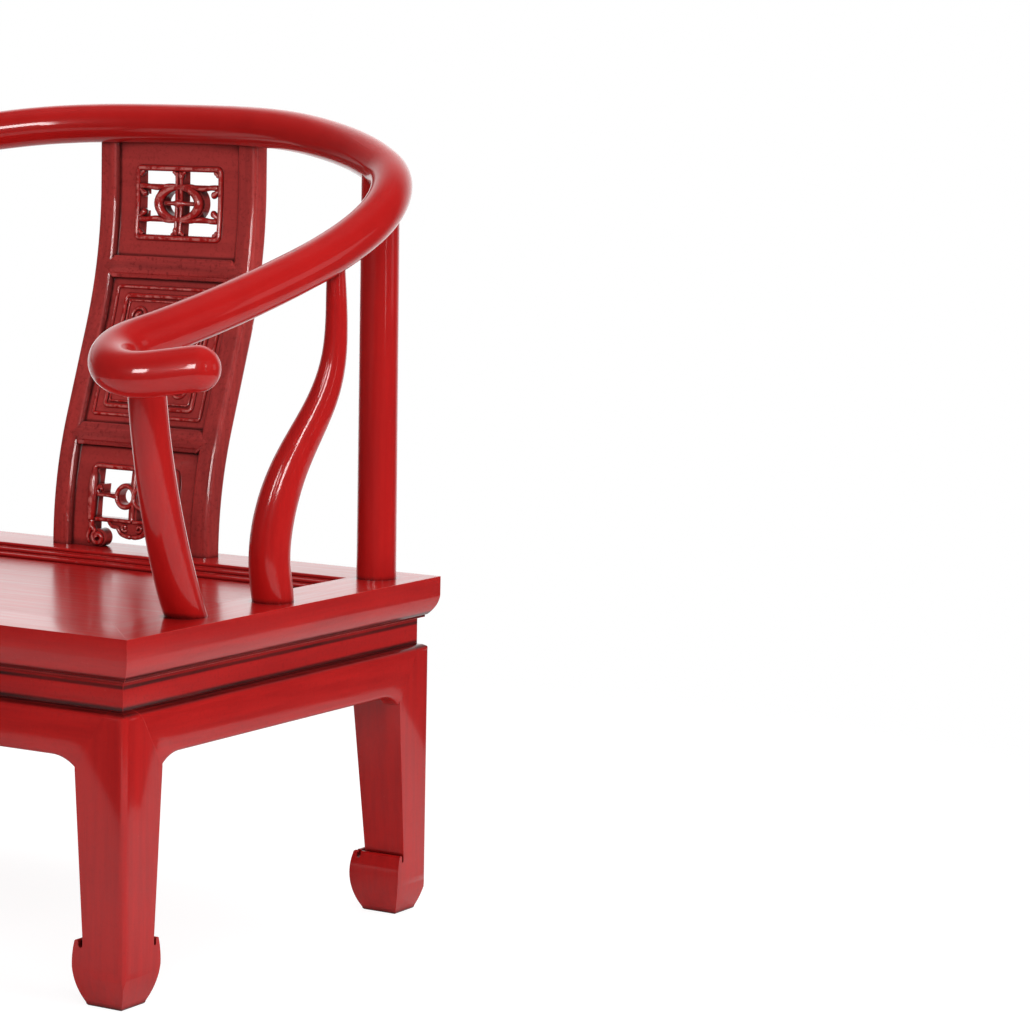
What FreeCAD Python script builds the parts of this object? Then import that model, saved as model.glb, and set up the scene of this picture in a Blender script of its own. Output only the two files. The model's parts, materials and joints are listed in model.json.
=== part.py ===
# A low horseshoe-back armchair in red lacquered wood, built from its separate joined pieces.
# Millimetres, +Z up, the sitter faces -Y. X = 0 is the plane of symmetry, and Z = 0 is the floor.
import FreeCAD
import Part
import math
import os
from FreeCAD import Placement, Rotation, Vector

# Overall
seat_height = 340.0
seat_width = 724.0
seat_depth = 516.0

# Seat frame: four mitred rails round a floating panel
frame_thickness = 41.0
rail_flat = 70.0
moulding_step = 11.0
moulding_drop = 4.0
moulding_round = 2.5
edge_upright = 18.5
edge_inset = 9.5
edge_lip_inset = 11.0
edge_lip_height = 2.5
edge_bulge_share = 0.25
corner_tenon_inset = 54.0
corner_tenon_width = 13.0
corner_tenon_height = 10.0
corner_tenon_low = 22.0
corner_tenon_length = 68.0
corner_tenon_end = 10.0
panel_drop = 12.0
panel_thickness = 14.0
panel_tongue_length = 8.0
panel_tongue_thickness = 6.0
panel_clearance = 0.5
batten_width = 32.0
batten_spread = 115.0
batten_dovetail = 4.0
batten_flare = 4.0
batten_tenon_length = 12.0

# Waist, aprons and their mitre into the legs
waist_height = 27.0
waist_inset = 16.5
waist_thickness = 13.0
waist_tongue_width = 5.0
waist_tongue_height = 4.0
apron_height = 45.0
apron_inset = 6.5
apron_thickness = 20.0
apron_shoulder = 8.0
shoulder_facets = 4
apron_arris = 4.5
spandrel_length = 29.0
spandrel_drop = 11.0
spandrel_middle_shares = (0.36, 0.36)
mitre_start = 22.0
apron_tenon_thickness = 8.0
apron_tenon_height = 20.0
apron_tenon_length = 26.0
apron_tenon_back = 10.0

# Legs: tapered inside, with an inward-turned hoof; the two numbers are the widths across X and across Y
leg_top_widths = (56.0, 55.5)
leg_ankle_widths = (46.5, 44.5)
leg_arris = 8.0
hoof_widths = (58.0, 54.0)
sole_widths = (40.0, 35.5)
hoof_height = 62.0
hoof_outer_height = 55.0
hoof_outer_inset = 9.0
hoof_lip = 4.4
hoof_notch = 7.0
hoof_bulge_share = 0.14
sole_arris = 3.0
leg_tenon = 20.0
leg_tenon_height = 18.0

# Crest rail: its centre line is four arcs in plan and a height that falls along them
rail_diameter = 41.0
crest_back_y = 304.5
crest_back_radius = 551.0
crest_back_angle = 36.0
crest_corner_radius = 132.6
crest_corner_angle = 58.0
crest_arm_radius = 1107.0
crest_arm_angle = 14.6
crest_grip_radius = 52.7
crest_grip_angle = 135.0
crest_grip_straight = 32.0
crest_back_height = 785.0
crest_length_shares = (0.0, 0.22, 0.42, 0.56, 0.68, 0.84, 0.93, 1.0)
crest_fall_shares = (0.0, 0.045, 0.239, 0.52, 0.701, 0.903, 1.0, 0.969)
crest_fall = 210.4
scarf_length = 62.0
scarf_back_offset = 131.0
scarf_arm_offset = 92.0
scarf_pin_width = 6.0
easy_step_share = 1.4
tight_step_share = 0.55
straight_share = 1e-6

# Posts, each a line of rings from its foot to the crest rail
post_tenon_diameter = 20.0
post_tenon_depth = 25.0
crest_tenon_depth = 14.0
back_post_place = (318.0, 207.0)
back_post_diameters = (40.0, 38.0)
side_post_place = (328.0, 13.0)
side_post_diameters = (40.0, 19.0)
front_post_place = (318.0, -112.0)
front_post_diameters = (40.0, 35.0)
back_post_before_corner = 5.0
side_post_past_corner = 40.0
front_post_before_grip = 8.0
post_tenon_share = 0.6
# Along a post: shares of its height, of its run across, of its run back and of its taper
back_post_shares = ((0.0, 0.0, 0.0, 0.0), (0.5, 0.5, 0.5, 0.5), (1.0, 1.0, 1.0, 1.0))
side_post_shares = ((0.0, 0.0, 0.0, 0.0), (0.1, -0.01, -0.17, 0.0), (0.2, 0.04, -0.2, 0.03),
                    (0.3, 0.155, -0.06, 0.1), (0.4, 0.335, 0.23, 0.25), (0.5, 0.57, 0.65, 0.43),
                    (0.6, 0.785, 1.02, 0.6), (0.7, 0.91, 1.19, 0.78), (0.8, 0.967, 1.17, 0.9),
                    (0.9, 0.99, 1.08, 1.0), (1.0, 1.0, 1.0, 1.0))
front_post_shares = ((0.0, 0.0, 0.0, 0.0), (0.2, 0.26, 0.34, 0.3), (0.4, 0.51, 0.6, 0.6),
                     (0.6, 0.71, 0.8, 0.85), (0.8, 0.88, 0.94, 1.0), (1.0, 1.0, 1.0, 1.0))

# Splat: two stiles, two cross rails and three panels on one S-shaped band
splat_width = 204.0
splat_thickness = 24.0
splat_foot_y = 229.0
splat_behind_crest = 5.0
splat_low_bend_share = 0.314
splat_slope_share = 0.219
splat_high_bend_share = 0.365
stile_width = 24.0
stile_arris = 5.0
cross_rail_thickness = 21.0
panel_board_thickness = 12.0
panel_groove = 5.0
cross_rail_depth = 19.0
cross_rail_tenon = 10.0
splat_tenon_depth = 22.0
splat_tenon_inset = 5.0
splat_crest_tenon = 8.0
splat_top_share = 0.2
middle_panel_height = 155.9

# The heights of the panels' parts are shared out so that they fill the splat between its cross rails.
# Openwork of the top panel: a window with a long ring, a crossing bar and short links
window_field_above = 29.7
window_width = 101.0
window_height = 67.2
window_field_below = 25.5
ring_height = 40.0
ring_length = 64.0
ring_bore_length = 40.0
ring_bore_height = 30.0
ring_bar = 10.5
ring_crossbar = 4.5
knot_width = 18.0
knot_height = 9.0
link_height = 4.5
hook_length = 9.0

# Openwork of the bottom panel: open down to the seat, with hooks, scrolls and a pendant
arch_field_above = 26.2
arch_width = 98.0
arch_height = 82.0
arch_bar_height = 29.0
arch_bar_thickness = 4.5
scroll_diameter = 28.0
scroll_bore = 17.0
scroll_offset = 11.0
scroll_height = 26.0
scroll_link_thickness = 4.0
pendant_width = 66.0
pendant_lobe_width = 40.0
pendant_shoulder = 7.0
pendant_wing_share = 0.4
pendant_drop = 18.0
foot_scroll_diameter = 19.0
foot_scroll_bore = 7.0
foot_scroll_reach = 15.0
side_hook_length = 9.0
side_hook_height = 11.0

overrun = 60.0

half_width = seat_width / 2
half_depth = seat_depth / 2
frame_bottom = seat_height - frame_thickness
rail_width = rail_flat + 2 * moulding_step
apron_top = frame_bottom - waist_height
apron_bottom = apron_top - apron_height
spandrel_bottom = apron_bottom - spandrel_drop
waist_back = waist_inset + waist_thickness
panel_top = seat_height - panel_drop
panel_bottom = panel_top - panel_thickness
half_splat = splat_width / 2
half_between = half_splat - stile_width
crest_under = crest_back_height - rail_diameter / 2
panel_heights = (arch_height, arch_field_above, middle_panel_height, window_field_below,
                 window_height, window_field_above)
panel_fit = (crest_under - seat_height - 2 * cross_rail_depth) / sum(panel_heights)
arch_bar_centre = seat_height + arch_bar_height * panel_fit
scroll_centre = arch_bar_centre + scroll_height * panel_fit
arch_top = seat_height + arch_height * panel_fit
low_rail_low = arch_top + arch_field_above * panel_fit
high_rail_low = low_rail_low + cross_rail_depth + middle_panel_height * panel_fit
window_rise = window_height * panel_fit
window_centre = crest_under - window_field_above * panel_fit - window_rise / 2


def box(x0, x1, y0, y1, z0, z1):
    return Part.makeBox(x1 - x0, y1 - y0, z1 - z0, Vector(x0, y0, z0))


def outline(points):
    """A closed outline: a point is joined by a line, a pair (middle, end) by an arc through the middle."""
    edges = []
    here = points[0]
    for step in points[1:] + [points[0]]:
        if isinstance(step, tuple):
            edges.append(Part.Arc(here, step[0], step[1]).toShape())
            here = step[1]
        elif here.distanceToPoint(step) > 0:
            edges.append(Part.makeLine(here, step))
            here = step
    return Part.Face(Part.Wire(edges))


def turned(shape, quarter_turns):
    copy = shape.copy()
    copy.rotate(Vector(), Vector(0, 0, 1), 90 * quarter_turns)
    return copy


def mirrored(shape, across_x, across_y=False):
    if across_x:
        shape = shape.mirror(Vector(), Vector(1, 0, 0))
    if across_y:
        shape = shape.mirror(Vector(), Vector(0, 1, 0))
    return shape


def save(name, shape):
    if shape.ShapeType != "Solid" and len(shape.Solids) == 1:
        shape = shape.Solids[0]
    shape = shape.copy()
    shape.translate(Vector(0, origin_shift, 0))
    shape.exportStep(os.path.join("parts", name + ".step"))
    state = "valid" if shape.isValid() else "INVALID"
    print(name, len(shape.Solids), "solids", round(shape.Volume), "mm3", state)


# The four sides of the seat, each built as if it were the front one and then turned
SIDES = (("front", 0, half_width, half_depth), ("right", 1, half_depth, half_width),
         ("back", 2, half_width, half_depth), ("left", 3, half_depth, half_width))


def mitred_bar(section, half_run, offset, depth):
    """A bar along X whose section is drawn in Y and Z, with its ends mitred over the given depth."""
    bar = section.extrude(Vector(2 * half_run, 0, 0))
    bar.translate(Vector(-half_run, 0, 0))
    low = section.BoundBox.ZMin - overrun
    inner_run = half_run - depth
    inner = depth - offset
    plan = outline([Vector(-half_run, -offset, low), Vector(half_run, -offset, low),
                    Vector(inner_run, inner, low), Vector(-inner_run, inner, low)])
    return bar.common(plan.extrude(Vector(0, 0, section.BoundBox.ZLength + 2 * overrun)))


def frame_rail_section(offset):
    """Upright edge that curves in to a lip, flat top, two moulded steps and a groove for the panel."""
    def at(inset, height):
        return Vector(0, inset - offset, frame_bottom + height)

    top = frame_thickness
    bulge = edge_inset * edge_bulge_share
    edge_low = edge_lip_height
    edge_high = top - edge_upright
    step_one = rail_flat + moulding_step
    groove_low = panel_bottom - frame_bottom + (panel_thickness - panel_tongue_thickness) / 2
    groove_top = groove_low + panel_tongue_thickness
    groove_back = rail_width - panel_tongue_length - panel_clearance
    curve = moulding_round * (1 - math.sqrt(0.5))
    first = top - moulding_drop
    second = first - moulding_drop
    return outline([
        at(0, top), at(0, edge_high),
        (at(bulge, (edge_high + edge_low) / 2), at(edge_inset, edge_low)),
        at(edge_lip_inset, edge_low), at(edge_lip_inset, 0),
        at(rail_width, 0), at(rail_width, groove_low), at(groove_back, groove_low),
        at(groove_back, groove_top), at(rail_width, groove_top),
        at(rail_width, second - moulding_round),
        (at(rail_width - curve, second - curve), at(rail_width - moulding_round, second)),
        at(step_one, second), at(step_one, first - moulding_round),
        (at(step_one - curve, first - curve), at(step_one - moulding_round, first)),
        at(rail_flat, first), at(rail_flat, top - moulding_round),
        (at(rail_flat - curve, top - curve), at(rail_flat - moulding_round, top)),
    ])


def shoulder_waste():
    """What the rounded shoulder takes off the aprons and the legs just under the waist."""
    def ring(inset, height):
        x = half_width - inset
        y = half_depth - inset
        return Part.makePolygon([Vector(-x, -y, height), Vector(x, -y, height), Vector(x, y, height),
                                 Vector(-x, y, height), Vector(-x, -y, height)])

    low = apron_top - apron_shoulder
    step = waist_inset - apron_inset
    turns = [math.radians(90 * i / shoulder_facets) for i in range(shoulder_facets + 1)]
    rings = [ring(apron_inset + step * (1 - math.cos(turn)), low + apron_shoulder * math.sin(turn))
             for turn in turns]
    hip = Part.makeLoft(rings, True, True)
    slab = box(-half_width, half_width, -half_depth, half_depth, low, apron_top)
    return slab.cut(hip)


def apron(half_run, offset, leg_width):
    """An apron for the front orientation, with its spandrels and its mitred ends."""
    end = half_run - apron_inset
    face = apron_inset - offset
    spring = end - leg_width
    middle_x = spring - spandrel_length * spandrel_middle_shares[0]
    middle_z = apron_bottom - spandrel_drop * spandrel_middle_shares[1]

    def at(x, z):
        return Vector(x, face, z)

    board = outline([
        at(mitre_start - end, apron_top), at(-spring, spandrel_bottom),
        (at(-middle_x, middle_z), at(spandrel_length - spring, apron_bottom)),
        at(spring - spandrel_length, apron_bottom),
        (at(middle_x, middle_z), at(spring, spandrel_bottom)), at(end - mitre_start, apron_top),
    ]).extrude(Vector(0, apron_thickness, 0))
    lower = [edge for edge in board.Edges
             if max(v.Y for v in edge.Vertexes) < face + apron_thickness / 2
             and max(v.Z for v in edge.Vertexes) < apron_bottom + apron_arris]
    board = board.makeFillet(apron_arris, lower)
    low = spandrel_bottom - overrun
    plan = outline([Vector(-end, face, low), Vector(end, face, low),
                    Vector(end - apron_thickness, face + apron_thickness, low),
                    Vector(apron_thickness - end, face + apron_thickness, low)])
    board = board.common(plan.extrude(Vector(0, 0, apron_top - low + overrun)))
    tenon_low = (apron_bottom + apron_top - apron_tenon_height) / 2
    tenon_top = tenon_low + apron_tenon_height
    layer = face + (apron_thickness - apron_tenon_thickness) / 2
    for side in (-1, 1):
        x0, x1 = sorted((side * (spring - apron_tenon_back), side * (spring + apron_tenon_length)))
        board = board.fuse(box(x0, x1, layer, layer + apron_tenon_thickness, tenon_low, tenon_top))
    return board.removeSplitter()


def leg_profile(index):
    """The leg seen square on: distance in from its outer face, and height."""
    top = leg_top_widths[index]
    ankle = leg_ankle_widths[index]
    hoof = hoof_widths[index]
    heel = hoof_outer_inset
    sole = heel + sole_widths[index]
    lip_top = hoof_height - hoof_lip / 2
    lip = hoof - hoof_lip / 2
    lip_back = lip - hoof_lip
    notch_round = (lip_back - ankle) / 2
    notch_low = hoof_height - hoof_notch
    corner = sole_arris * (1 - math.sqrt(0.5))

    def at(inset, height):
        return Vector(inset, 0, height)

    return outline([
        at(0, apron_top), at(0, hoof_outer_height),
        (at(heel * hoof_bulge_share, hoof_outer_height / 2), at(heel, sole_arris)),
        (at(heel + corner, corner), at(heel + sole_arris, 0)),
        at(sole - sole_arris, 0),
        (at(sole - corner, corner), at(sole, sole_arris)),
        (at(hoof, hoof_height / 2), at(lip, lip_top)),
        (at(lip - hoof_lip / 2, hoof_height), at(lip_back, lip_top)),
        at(lip_back, notch_low + notch_round),
        (at(ankle + notch_round, notch_low), at(ankle, notch_low + notch_round)),
        at(ankle, hoof_height), at(top, spandrel_bottom), at(top, apron_top),
    ])


def leg():
    """The front right leg, with its outer corner at (half_width, -half_depth) less the inset."""
    across_x = leg_profile(0).extrude(Vector(0, leg_top_widths[1] + overrun, 0))
    across_y = leg_profile(1).extrude(Vector(0, leg_top_widths[0] + overrun, 0))
    across_y.rotate(Vector(), Vector(0, 0, 1), 90)
    across_y = across_y.mirror(Vector(), Vector(1, 0, 0))
    blank = box(0, leg_top_widths[0] + overrun, 0, leg_top_widths[1] + overrun, 0, apron_top)
    arris = [edge for edge in blank.Edges if edge.Length > apron_top - leg_arris
             and edge.BoundBox.XMax < leg_arris and edge.BoundBox.YMax < leg_arris]
    blank = blank.makeFillet(leg_arris, arris)
    solid = blank.common(across_x).common(across_y)
    back = waist_back - apron_inset
    solid = solid.fuse(box(back, leg_top_widths[0], back, leg_top_widths[1], spandrel_bottom, frame_bottom))
    low = frame_bottom - leg_tenon / 2
    centre_x = (back + leg_top_widths[0]) / 2
    centre_y = (back + leg_top_widths[1]) / 2
    half = leg_tenon / 2
    solid = solid.fuse(box(centre_x - half, centre_x + half, centre_y - half, centre_y + half,
                           low, frame_bottom + leg_tenon_height))
    # From the corner's own frame to the chair's: inward is -X and +Y there
    solid = solid.mirror(Vector(), Vector(1, 0, 0))
    solid.translate(Vector(half_width - apron_inset, apron_inset - half_depth, 0))
    return solid.removeSplitter()


# Crest rail
def crest_plan():
    """The plan of the right half: a list of (length, curvature) stretches from the middle of the back."""
    turns = ((crest_back_radius, -crest_back_angle), (crest_corner_radius, -crest_corner_angle),
             (crest_arm_radius, -crest_arm_angle), (crest_grip_radius, crest_grip_angle))
    stretches = [(radius * math.radians(abs(angle)), math.copysign(1 / radius, angle))
                 for radius, angle in turns]
    return stretches + [(crest_grip_straight, 0.0)]


CREST = crest_plan()
crest_length = sum(length for length, _ in CREST)
corner_start = CREST[0][0]
arm_start = corner_start + CREST[1][0]
grip_start = arm_start + CREST[2][0]
grip_end = grip_start + CREST[3][0]


def crest_height(s):
    """Height at plan length s: a smooth cubic through the named shares."""
    share = min(max(s / crest_length, 0.0), 1.0)
    xs = crest_length_shares
    ys = crest_fall_shares
    slopes = [0.0]
    for i in range(1, len(xs) - 1):
        before = (ys[i] - ys[i - 1]) / (xs[i] - xs[i - 1])
        after = (ys[i + 1] - ys[i]) / (xs[i + 1] - xs[i])
        ahead = xs[i + 1] - xs[i]
        behind = xs[i] - xs[i - 1]
        slopes.append((before * ahead + after * behind) / (ahead + behind))
    slopes.append((ys[-1] - ys[-2]) / (xs[-1] - xs[-2]))
    i = max(k for k in range(len(xs) - 1) if xs[k] <= share)
    span = xs[i + 1] - xs[i]
    t = (share - xs[i]) / span
    value = (ys[i] * (1 + 2 * t) * (1 - t) ** 2 + slopes[i] * span * t * (1 - t) ** 2
             + ys[i + 1] * t * t * (3 - 2 * t) + slopes[i + 1] * span * t * t * (t - 1))
    return crest_back_height - crest_fall * value


def crest_point(s):
    """Centre line of the crest rail at plan length s; a negative s is on the left."""
    x, y, heading, left = 0.0, crest_back_y, 0.0, abs(s)
    for length, curvature in CREST:
        run = min(left, length)
        if curvature:
            turn = run * curvature
            chord = 2 * math.sin(turn / 2) / curvature
        else:
            turn = 0.0
            chord = run
        x += chord * math.cos(heading + turn / 2)
        y += chord * math.sin(heading + turn / 2)
        heading += turn
        left -= run
        if left <= 0:
            break
    return Vector(math.copysign(x, s), y, crest_height(abs(s)))


def crest_tangent(s):
    reach = crest_length / 4000
    ahead = crest_point(min(s + reach, crest_length))
    behind = crest_point(max(s - reach, -crest_length))
    return (ahead - behind).normalize()


def two_arcs(a, ta, b, tb):
    """Two arcs, as (start, middle, end) triples: they leave a along ta, meet smoothly, reach b along tb."""
    v = b - a
    t = ta + tb
    along = v.dot(t)
    reach = v.dot(v) / (along + math.sqrt(along ** 2 + 2 * (1 - ta.dot(tb)) * v.dot(v)))
    join = (a + b + (ta - tb) * reach) * 0.5
    return (a, arc_middle(a, ta, join), join), (join, arc_middle(b, -tb, join), b)


def arc_middle(start, tangent, end):
    """The middle point of the arc that leaves start along tangent and ends at end."""
    chord = end - start
    half = chord * 0.5
    along = chord.normalize()
    cosine = min(1.0, tangent.dot(along))
    angle = math.acos(cosine)
    side = tangent - along * cosine
    if side.Length * half.Length < crest_length * straight_share ** 2:
        return start + half
    return start + half + side.normalize() * (half.Length * math.tan(angle / 2))


def swept(profile, stations):
    """Carries a plane profile along the crest rail through the stations, as turned and straight runs."""
    pieces = []
    face = profile
    for s0, s1 in zip(stations, stations[1:]):
        arcs = two_arcs(crest_point(s0), crest_tangent(s0), crest_point(s1), crest_tangent(s1))
        for start, middle, end in arcs:
            sag = (middle - (start + end) * 0.5).Length
            if sag < crest_length * straight_share:
                pieces.append(face.extrude(end - start))
                face = face.copy()
                face.translate(end - start)
                continue
            centre = Part.Circle(start, middle, end).Center
            axis = (start - centre).cross(middle - centre).normalize()
            angle = math.degrees(2 * (start - centre).getAngle(middle - centre))
            pieces.append(face.revolve(centre, axis, angle))
            face = face.copy()
            face.rotate(centre, axis, angle)
    solid = pieces[0]
    if len(pieces) > 1:
        solid = solid.multiFuse(pieces[1:])
    return solid, face


def across(s):
    """The level direction across the rail at s, to the sitter's outer side, and the one square to it."""
    tangent = crest_tangent(s)
    level = tangent.cross(Vector(0, 0, 1)).normalize()
    return tangent, level, level.cross(tangent).normalize()


def half_disc(s, upper):
    """Half of the rail's round section at s, above or below the plane of the scarf."""
    tangent, level, up = across(s)
    centre = crest_point(s)
    radius = rail_diameter / 2
    side = up if upper else -up
    return outline([centre + level * radius, (centre + side * radius, centre - level * radius)])


def whole_disc(s):
    tangent = crest_tangent(s)
    circle = Part.Edge(Part.Circle(crest_point(s), tangent, rail_diameter / 2))
    return Part.Face(Part.Wire([circle]))


def stations(s0, s1):
    """Places between s0 and s1, closer where the rail turns sharply."""
    places = [s0]
    knee = grip_start - rail_diameter
    for low, high, share in ((s0, min(s1, knee), easy_step_share), (max(s0, knee), s1, tight_step_share)):
        if high > low:
            count = math.ceil((high - low) / (rail_diameter * share))
            places += [low + (high - low) * (i + 1) / count for i in range(count)]
    return places


def crest_run(s0, s1):
    return swept(whole_disc(s0), stations(s0, s1))[0]


def crest_lap(centre, upper):
    """Half of the rail over a scarf: every scarf is cut the same way, so its two halves meet."""
    s0 = centre - scarf_length / 2
    return swept(half_disc(s0, upper), [s0, centre, centre + scarf_length / 2])[0]


def grip_end_cap():
    """The rounded end of the arm."""
    end = crest_point(crest_length)
    tangent = crest_tangent(crest_length)
    ball = Part.makeSphere(rail_diameter / 2, end, tangent)
    cutter = Part.makeCylinder(rail_diameter, rail_diameter, end, tangent)
    return ball.common(cutter)


BACK_SCARF = scarf_back_offset
ARM_SCARF = arm_start + scarf_arm_offset


def crest_pieces():
    """Five sections: the middle one laps over its neighbours, and each shoulder laps over its arm."""
    half = scarf_length / 2
    middle = crest_run(-BACK_SCARF + half, BACK_SCARF - half)
    lap = crest_lap(BACK_SCARF, True)
    middle = middle.multiFuse([lap, mirrored(lap, True)])
    shoulder = crest_run(BACK_SCARF + half, ARM_SCARF - half).multiFuse(
        [crest_lap(BACK_SCARF, False), crest_lap(ARM_SCARF, True)])
    arm = crest_run(ARM_SCARF + half, crest_length).multiFuse([crest_lap(ARM_SCARF, False), grip_end_cap()])
    return middle, shoulder, arm


def scarf_pin(centre):
    """A square pin through the two halves of a scarf, flush with the rail."""
    tangent, level, up = across(centre)
    half = scarf_pin_width / 2
    reach = rail_diameter
    blank = box(-half, half, -half, half, -reach, reach)
    turn = Rotation(level, tangent, up, "ZXY")
    blank.Placement = Placement(crest_point(centre), turn)
    return blank.common(crest_run(centre - scarf_length / 2, centre + scarf_length / 2))


def ring(centre, normal, radius):
    """A circle with its seam towards +X, so that the rings of a post line up."""
    side = Vector(1, 0, 0) - normal * normal.x
    turn = Rotation(side.normalize(), normal.cross(side), normal, "ZXY")
    circle = Part.Wire([Part.Edge(Part.Circle(Vector(), Vector(0, 0, 1), radius))])
    circle.Placement = Placement(centre, turn)
    return circle


def post(place, crest_s, diameters, shares):
    """A post from the seat to the middle of the crest rail, and the short tenon at each of its ends."""
    foot = Vector(place[0], place[1], seat_height)
    head = crest_point(crest_s)
    centres = [Vector(foot.x + (head.x - foot.x) * across_share, foot.y + (head.y - foot.y) * back_share,
                      foot.z + (head.z - foot.z) * height_share)
               for height_share, across_share, back_share, _ in shares]
    rings = []
    for i, centre in enumerate(centres):
        normal = centres[min(i + 1, len(centres) - 1)] - centres[max(i - 1, 0)] if i else Vector(0, 0, 1)
        diameter = diameters[0] + (diameters[1] - diameters[0]) * shares[i][3]
        rings.append(ring(centre, normal.normalize(), diameter / 2))
    body = Part.makeLoft(rings, True, False)
    foot_radius, head_radius = (min(post_tenon_diameter, diameter * post_tenon_share) / 2
                                for diameter in diameters)
    foot_tenon = Part.makeCylinder(foot_radius, post_tenon_depth, foot - Vector(0, 0, post_tenon_depth))
    lean = (centres[-1] - centres[-2]).normalize()
    head_tenon = Part.makeCylinder(head_radius, rail_diameter / 2 + crest_tenon_depth / 2,
                                   head - lean * rail_diameter / 2 - lean * crest_tenon_depth / 2, lean)
    return body, foot_tenon, head_tenon


# Splat
def splat_lean():
    """How far the middle of the S leans back: the angle that takes it from its foot to the crest rail."""
    rise = crest_under - seat_height
    run = crest_back_y + splat_behind_crest - splat_foot_y
    bends = (splat_low_bend_share + splat_high_bend_share) * rise
    lean = 0.0
    for _ in range(60):
        lean = 2 * math.atan((run - splat_slope_share * rise * math.tan(lean)) / bends)
    return lean


def splat_band(thickness, low, high):
    """The S-shaped band that the splat's pieces are cut from, in the plane X = 0, between two heights."""
    half = thickness / 2
    rise = crest_under - seat_height
    lean = splat_lean()
    sine, cosine = math.sin(lean), math.cos(lean)
    low_radius = splat_low_bend_share * rise / sine
    high_radius = splat_high_bend_share * rise / sine
    slope = splat_slope_share * rise
    y0, z0 = splat_foot_y, seat_height
    y1, z1 = y0 + low_radius * (1 - cosine), z0 + low_radius * sine
    y2, z2 = y1 + slope * math.tan(lean), z1 + slope
    y3, z3 = y2 + high_radius * (1 - cosine), z2 + high_radius * sine

    def side(off):
        """The band's line at this distance behind its middle: bend, slope, bend."""
        def low_bend(angle):
            return Vector(0, y0 + low_radius - (low_radius - off) * math.cos(angle),
                          z0 + (low_radius - off) * math.sin(angle))

        def high_bend(angle):
            return Vector(0, y3 - high_radius + (high_radius + off) * math.cos(angle),
                          z3 - (high_radius + off) * math.sin(angle))

        return (low_bend(0), (low_bend(lean / 2), low_bend(lean)), high_bend(lean),
                (high_bend(lean / 2), high_bend(0)))

    front = side(-half)
    back = side(half)
    foot = Vector(0, 0, -overrun)
    top = Vector(0, 0, overrun + rail_diameter)
    band = outline([front[0] + foot, *front, front[3][1] + top, back[3][1] + top, back[3][1],
                    (back[3][0], back[2]), back[1][1], (back[1][0], back[0]), back[0] + foot])
    depth = seat_depth
    return band.common(box(-thickness, thickness, -depth, depth, low, high)).Faces[0]


def splat_slice(x0, x1, thickness, low, high):
    blank = splat_band(thickness, low, high).extrude(Vector(x1 - x0, 0, 0))
    blank.translate(Vector(x0, 0, 0))
    return blank


def elevation(points):
    """An outline in X and Z, as a prism through the whole depth."""
    return outline([Vector(x, 0, z) for x, z in points]).extrude(Vector(0, seat_depth, 0))


def slab(x0, x1, z0, z1):
    return box(x0, x1, 0, seat_depth, z0, z1)


def disc(x, z, radius):
    return Part.makeCylinder(radius, seat_depth, Vector(x, 0, z), Vector(0, 1, 0))


def top_openwork():
    """What the window of the top panel leaves open: the window less its ring, bars, links and hooks."""
    half_w, half_h = window_width / 2, window_rise / 2
    z = window_centre
    window = slab(-half_w, half_w, z - half_h, z + half_h)
    radius = ring_height / 2
    shift = ring_length / 2 - radius
    solid = slab(-shift, shift, z - radius, z + radius)
    solid = solid.multiFuse([disc(-shift, z, radius), disc(shift, z, radius)])
    bore = Part.Edge(Part.Ellipse(Vector(), ring_bore_length / 2, ring_bore_height / 2))
    bore = Part.Face(Part.Wire([bore])).extrude(Vector(0, 0, seat_depth))
    bore.rotate(Vector(), Vector(1, 0, 0), -90)
    bore.translate(Vector(0, 0, z))
    solid = solid.cut(bore)
    knot_x, knot_z = knot_width / 2, knot_height / 2
    bars = [slab(-ring_bar / 2, ring_bar / 2, z - half_h, z + half_h),
            slab(-shift - radius / 2, shift + radius / 2, z - ring_crossbar / 2, z + ring_crossbar / 2),
            elevation([(-knot_x, z), (0, z - knot_z), (knot_x, z), (0, z + knot_z)])]
    for side in (-1, 1):
        for level in (-1, 1):
            x0, x1 = sorted((side * shift, side * half_w))
            middle = z + level * (radius - link_height / 2)
            bars.append(slab(x0, x1, middle - link_height / 2, middle + link_height / 2))
            x0, x1 = sorted((side * half_w, side * (half_w - link_height)))
            z0, z1 = sorted((middle, middle - level * hook_length))
            bars.append(slab(x0, x1, z0, z1))
    return window.cut(solid.multiFuse(bars))


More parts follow.
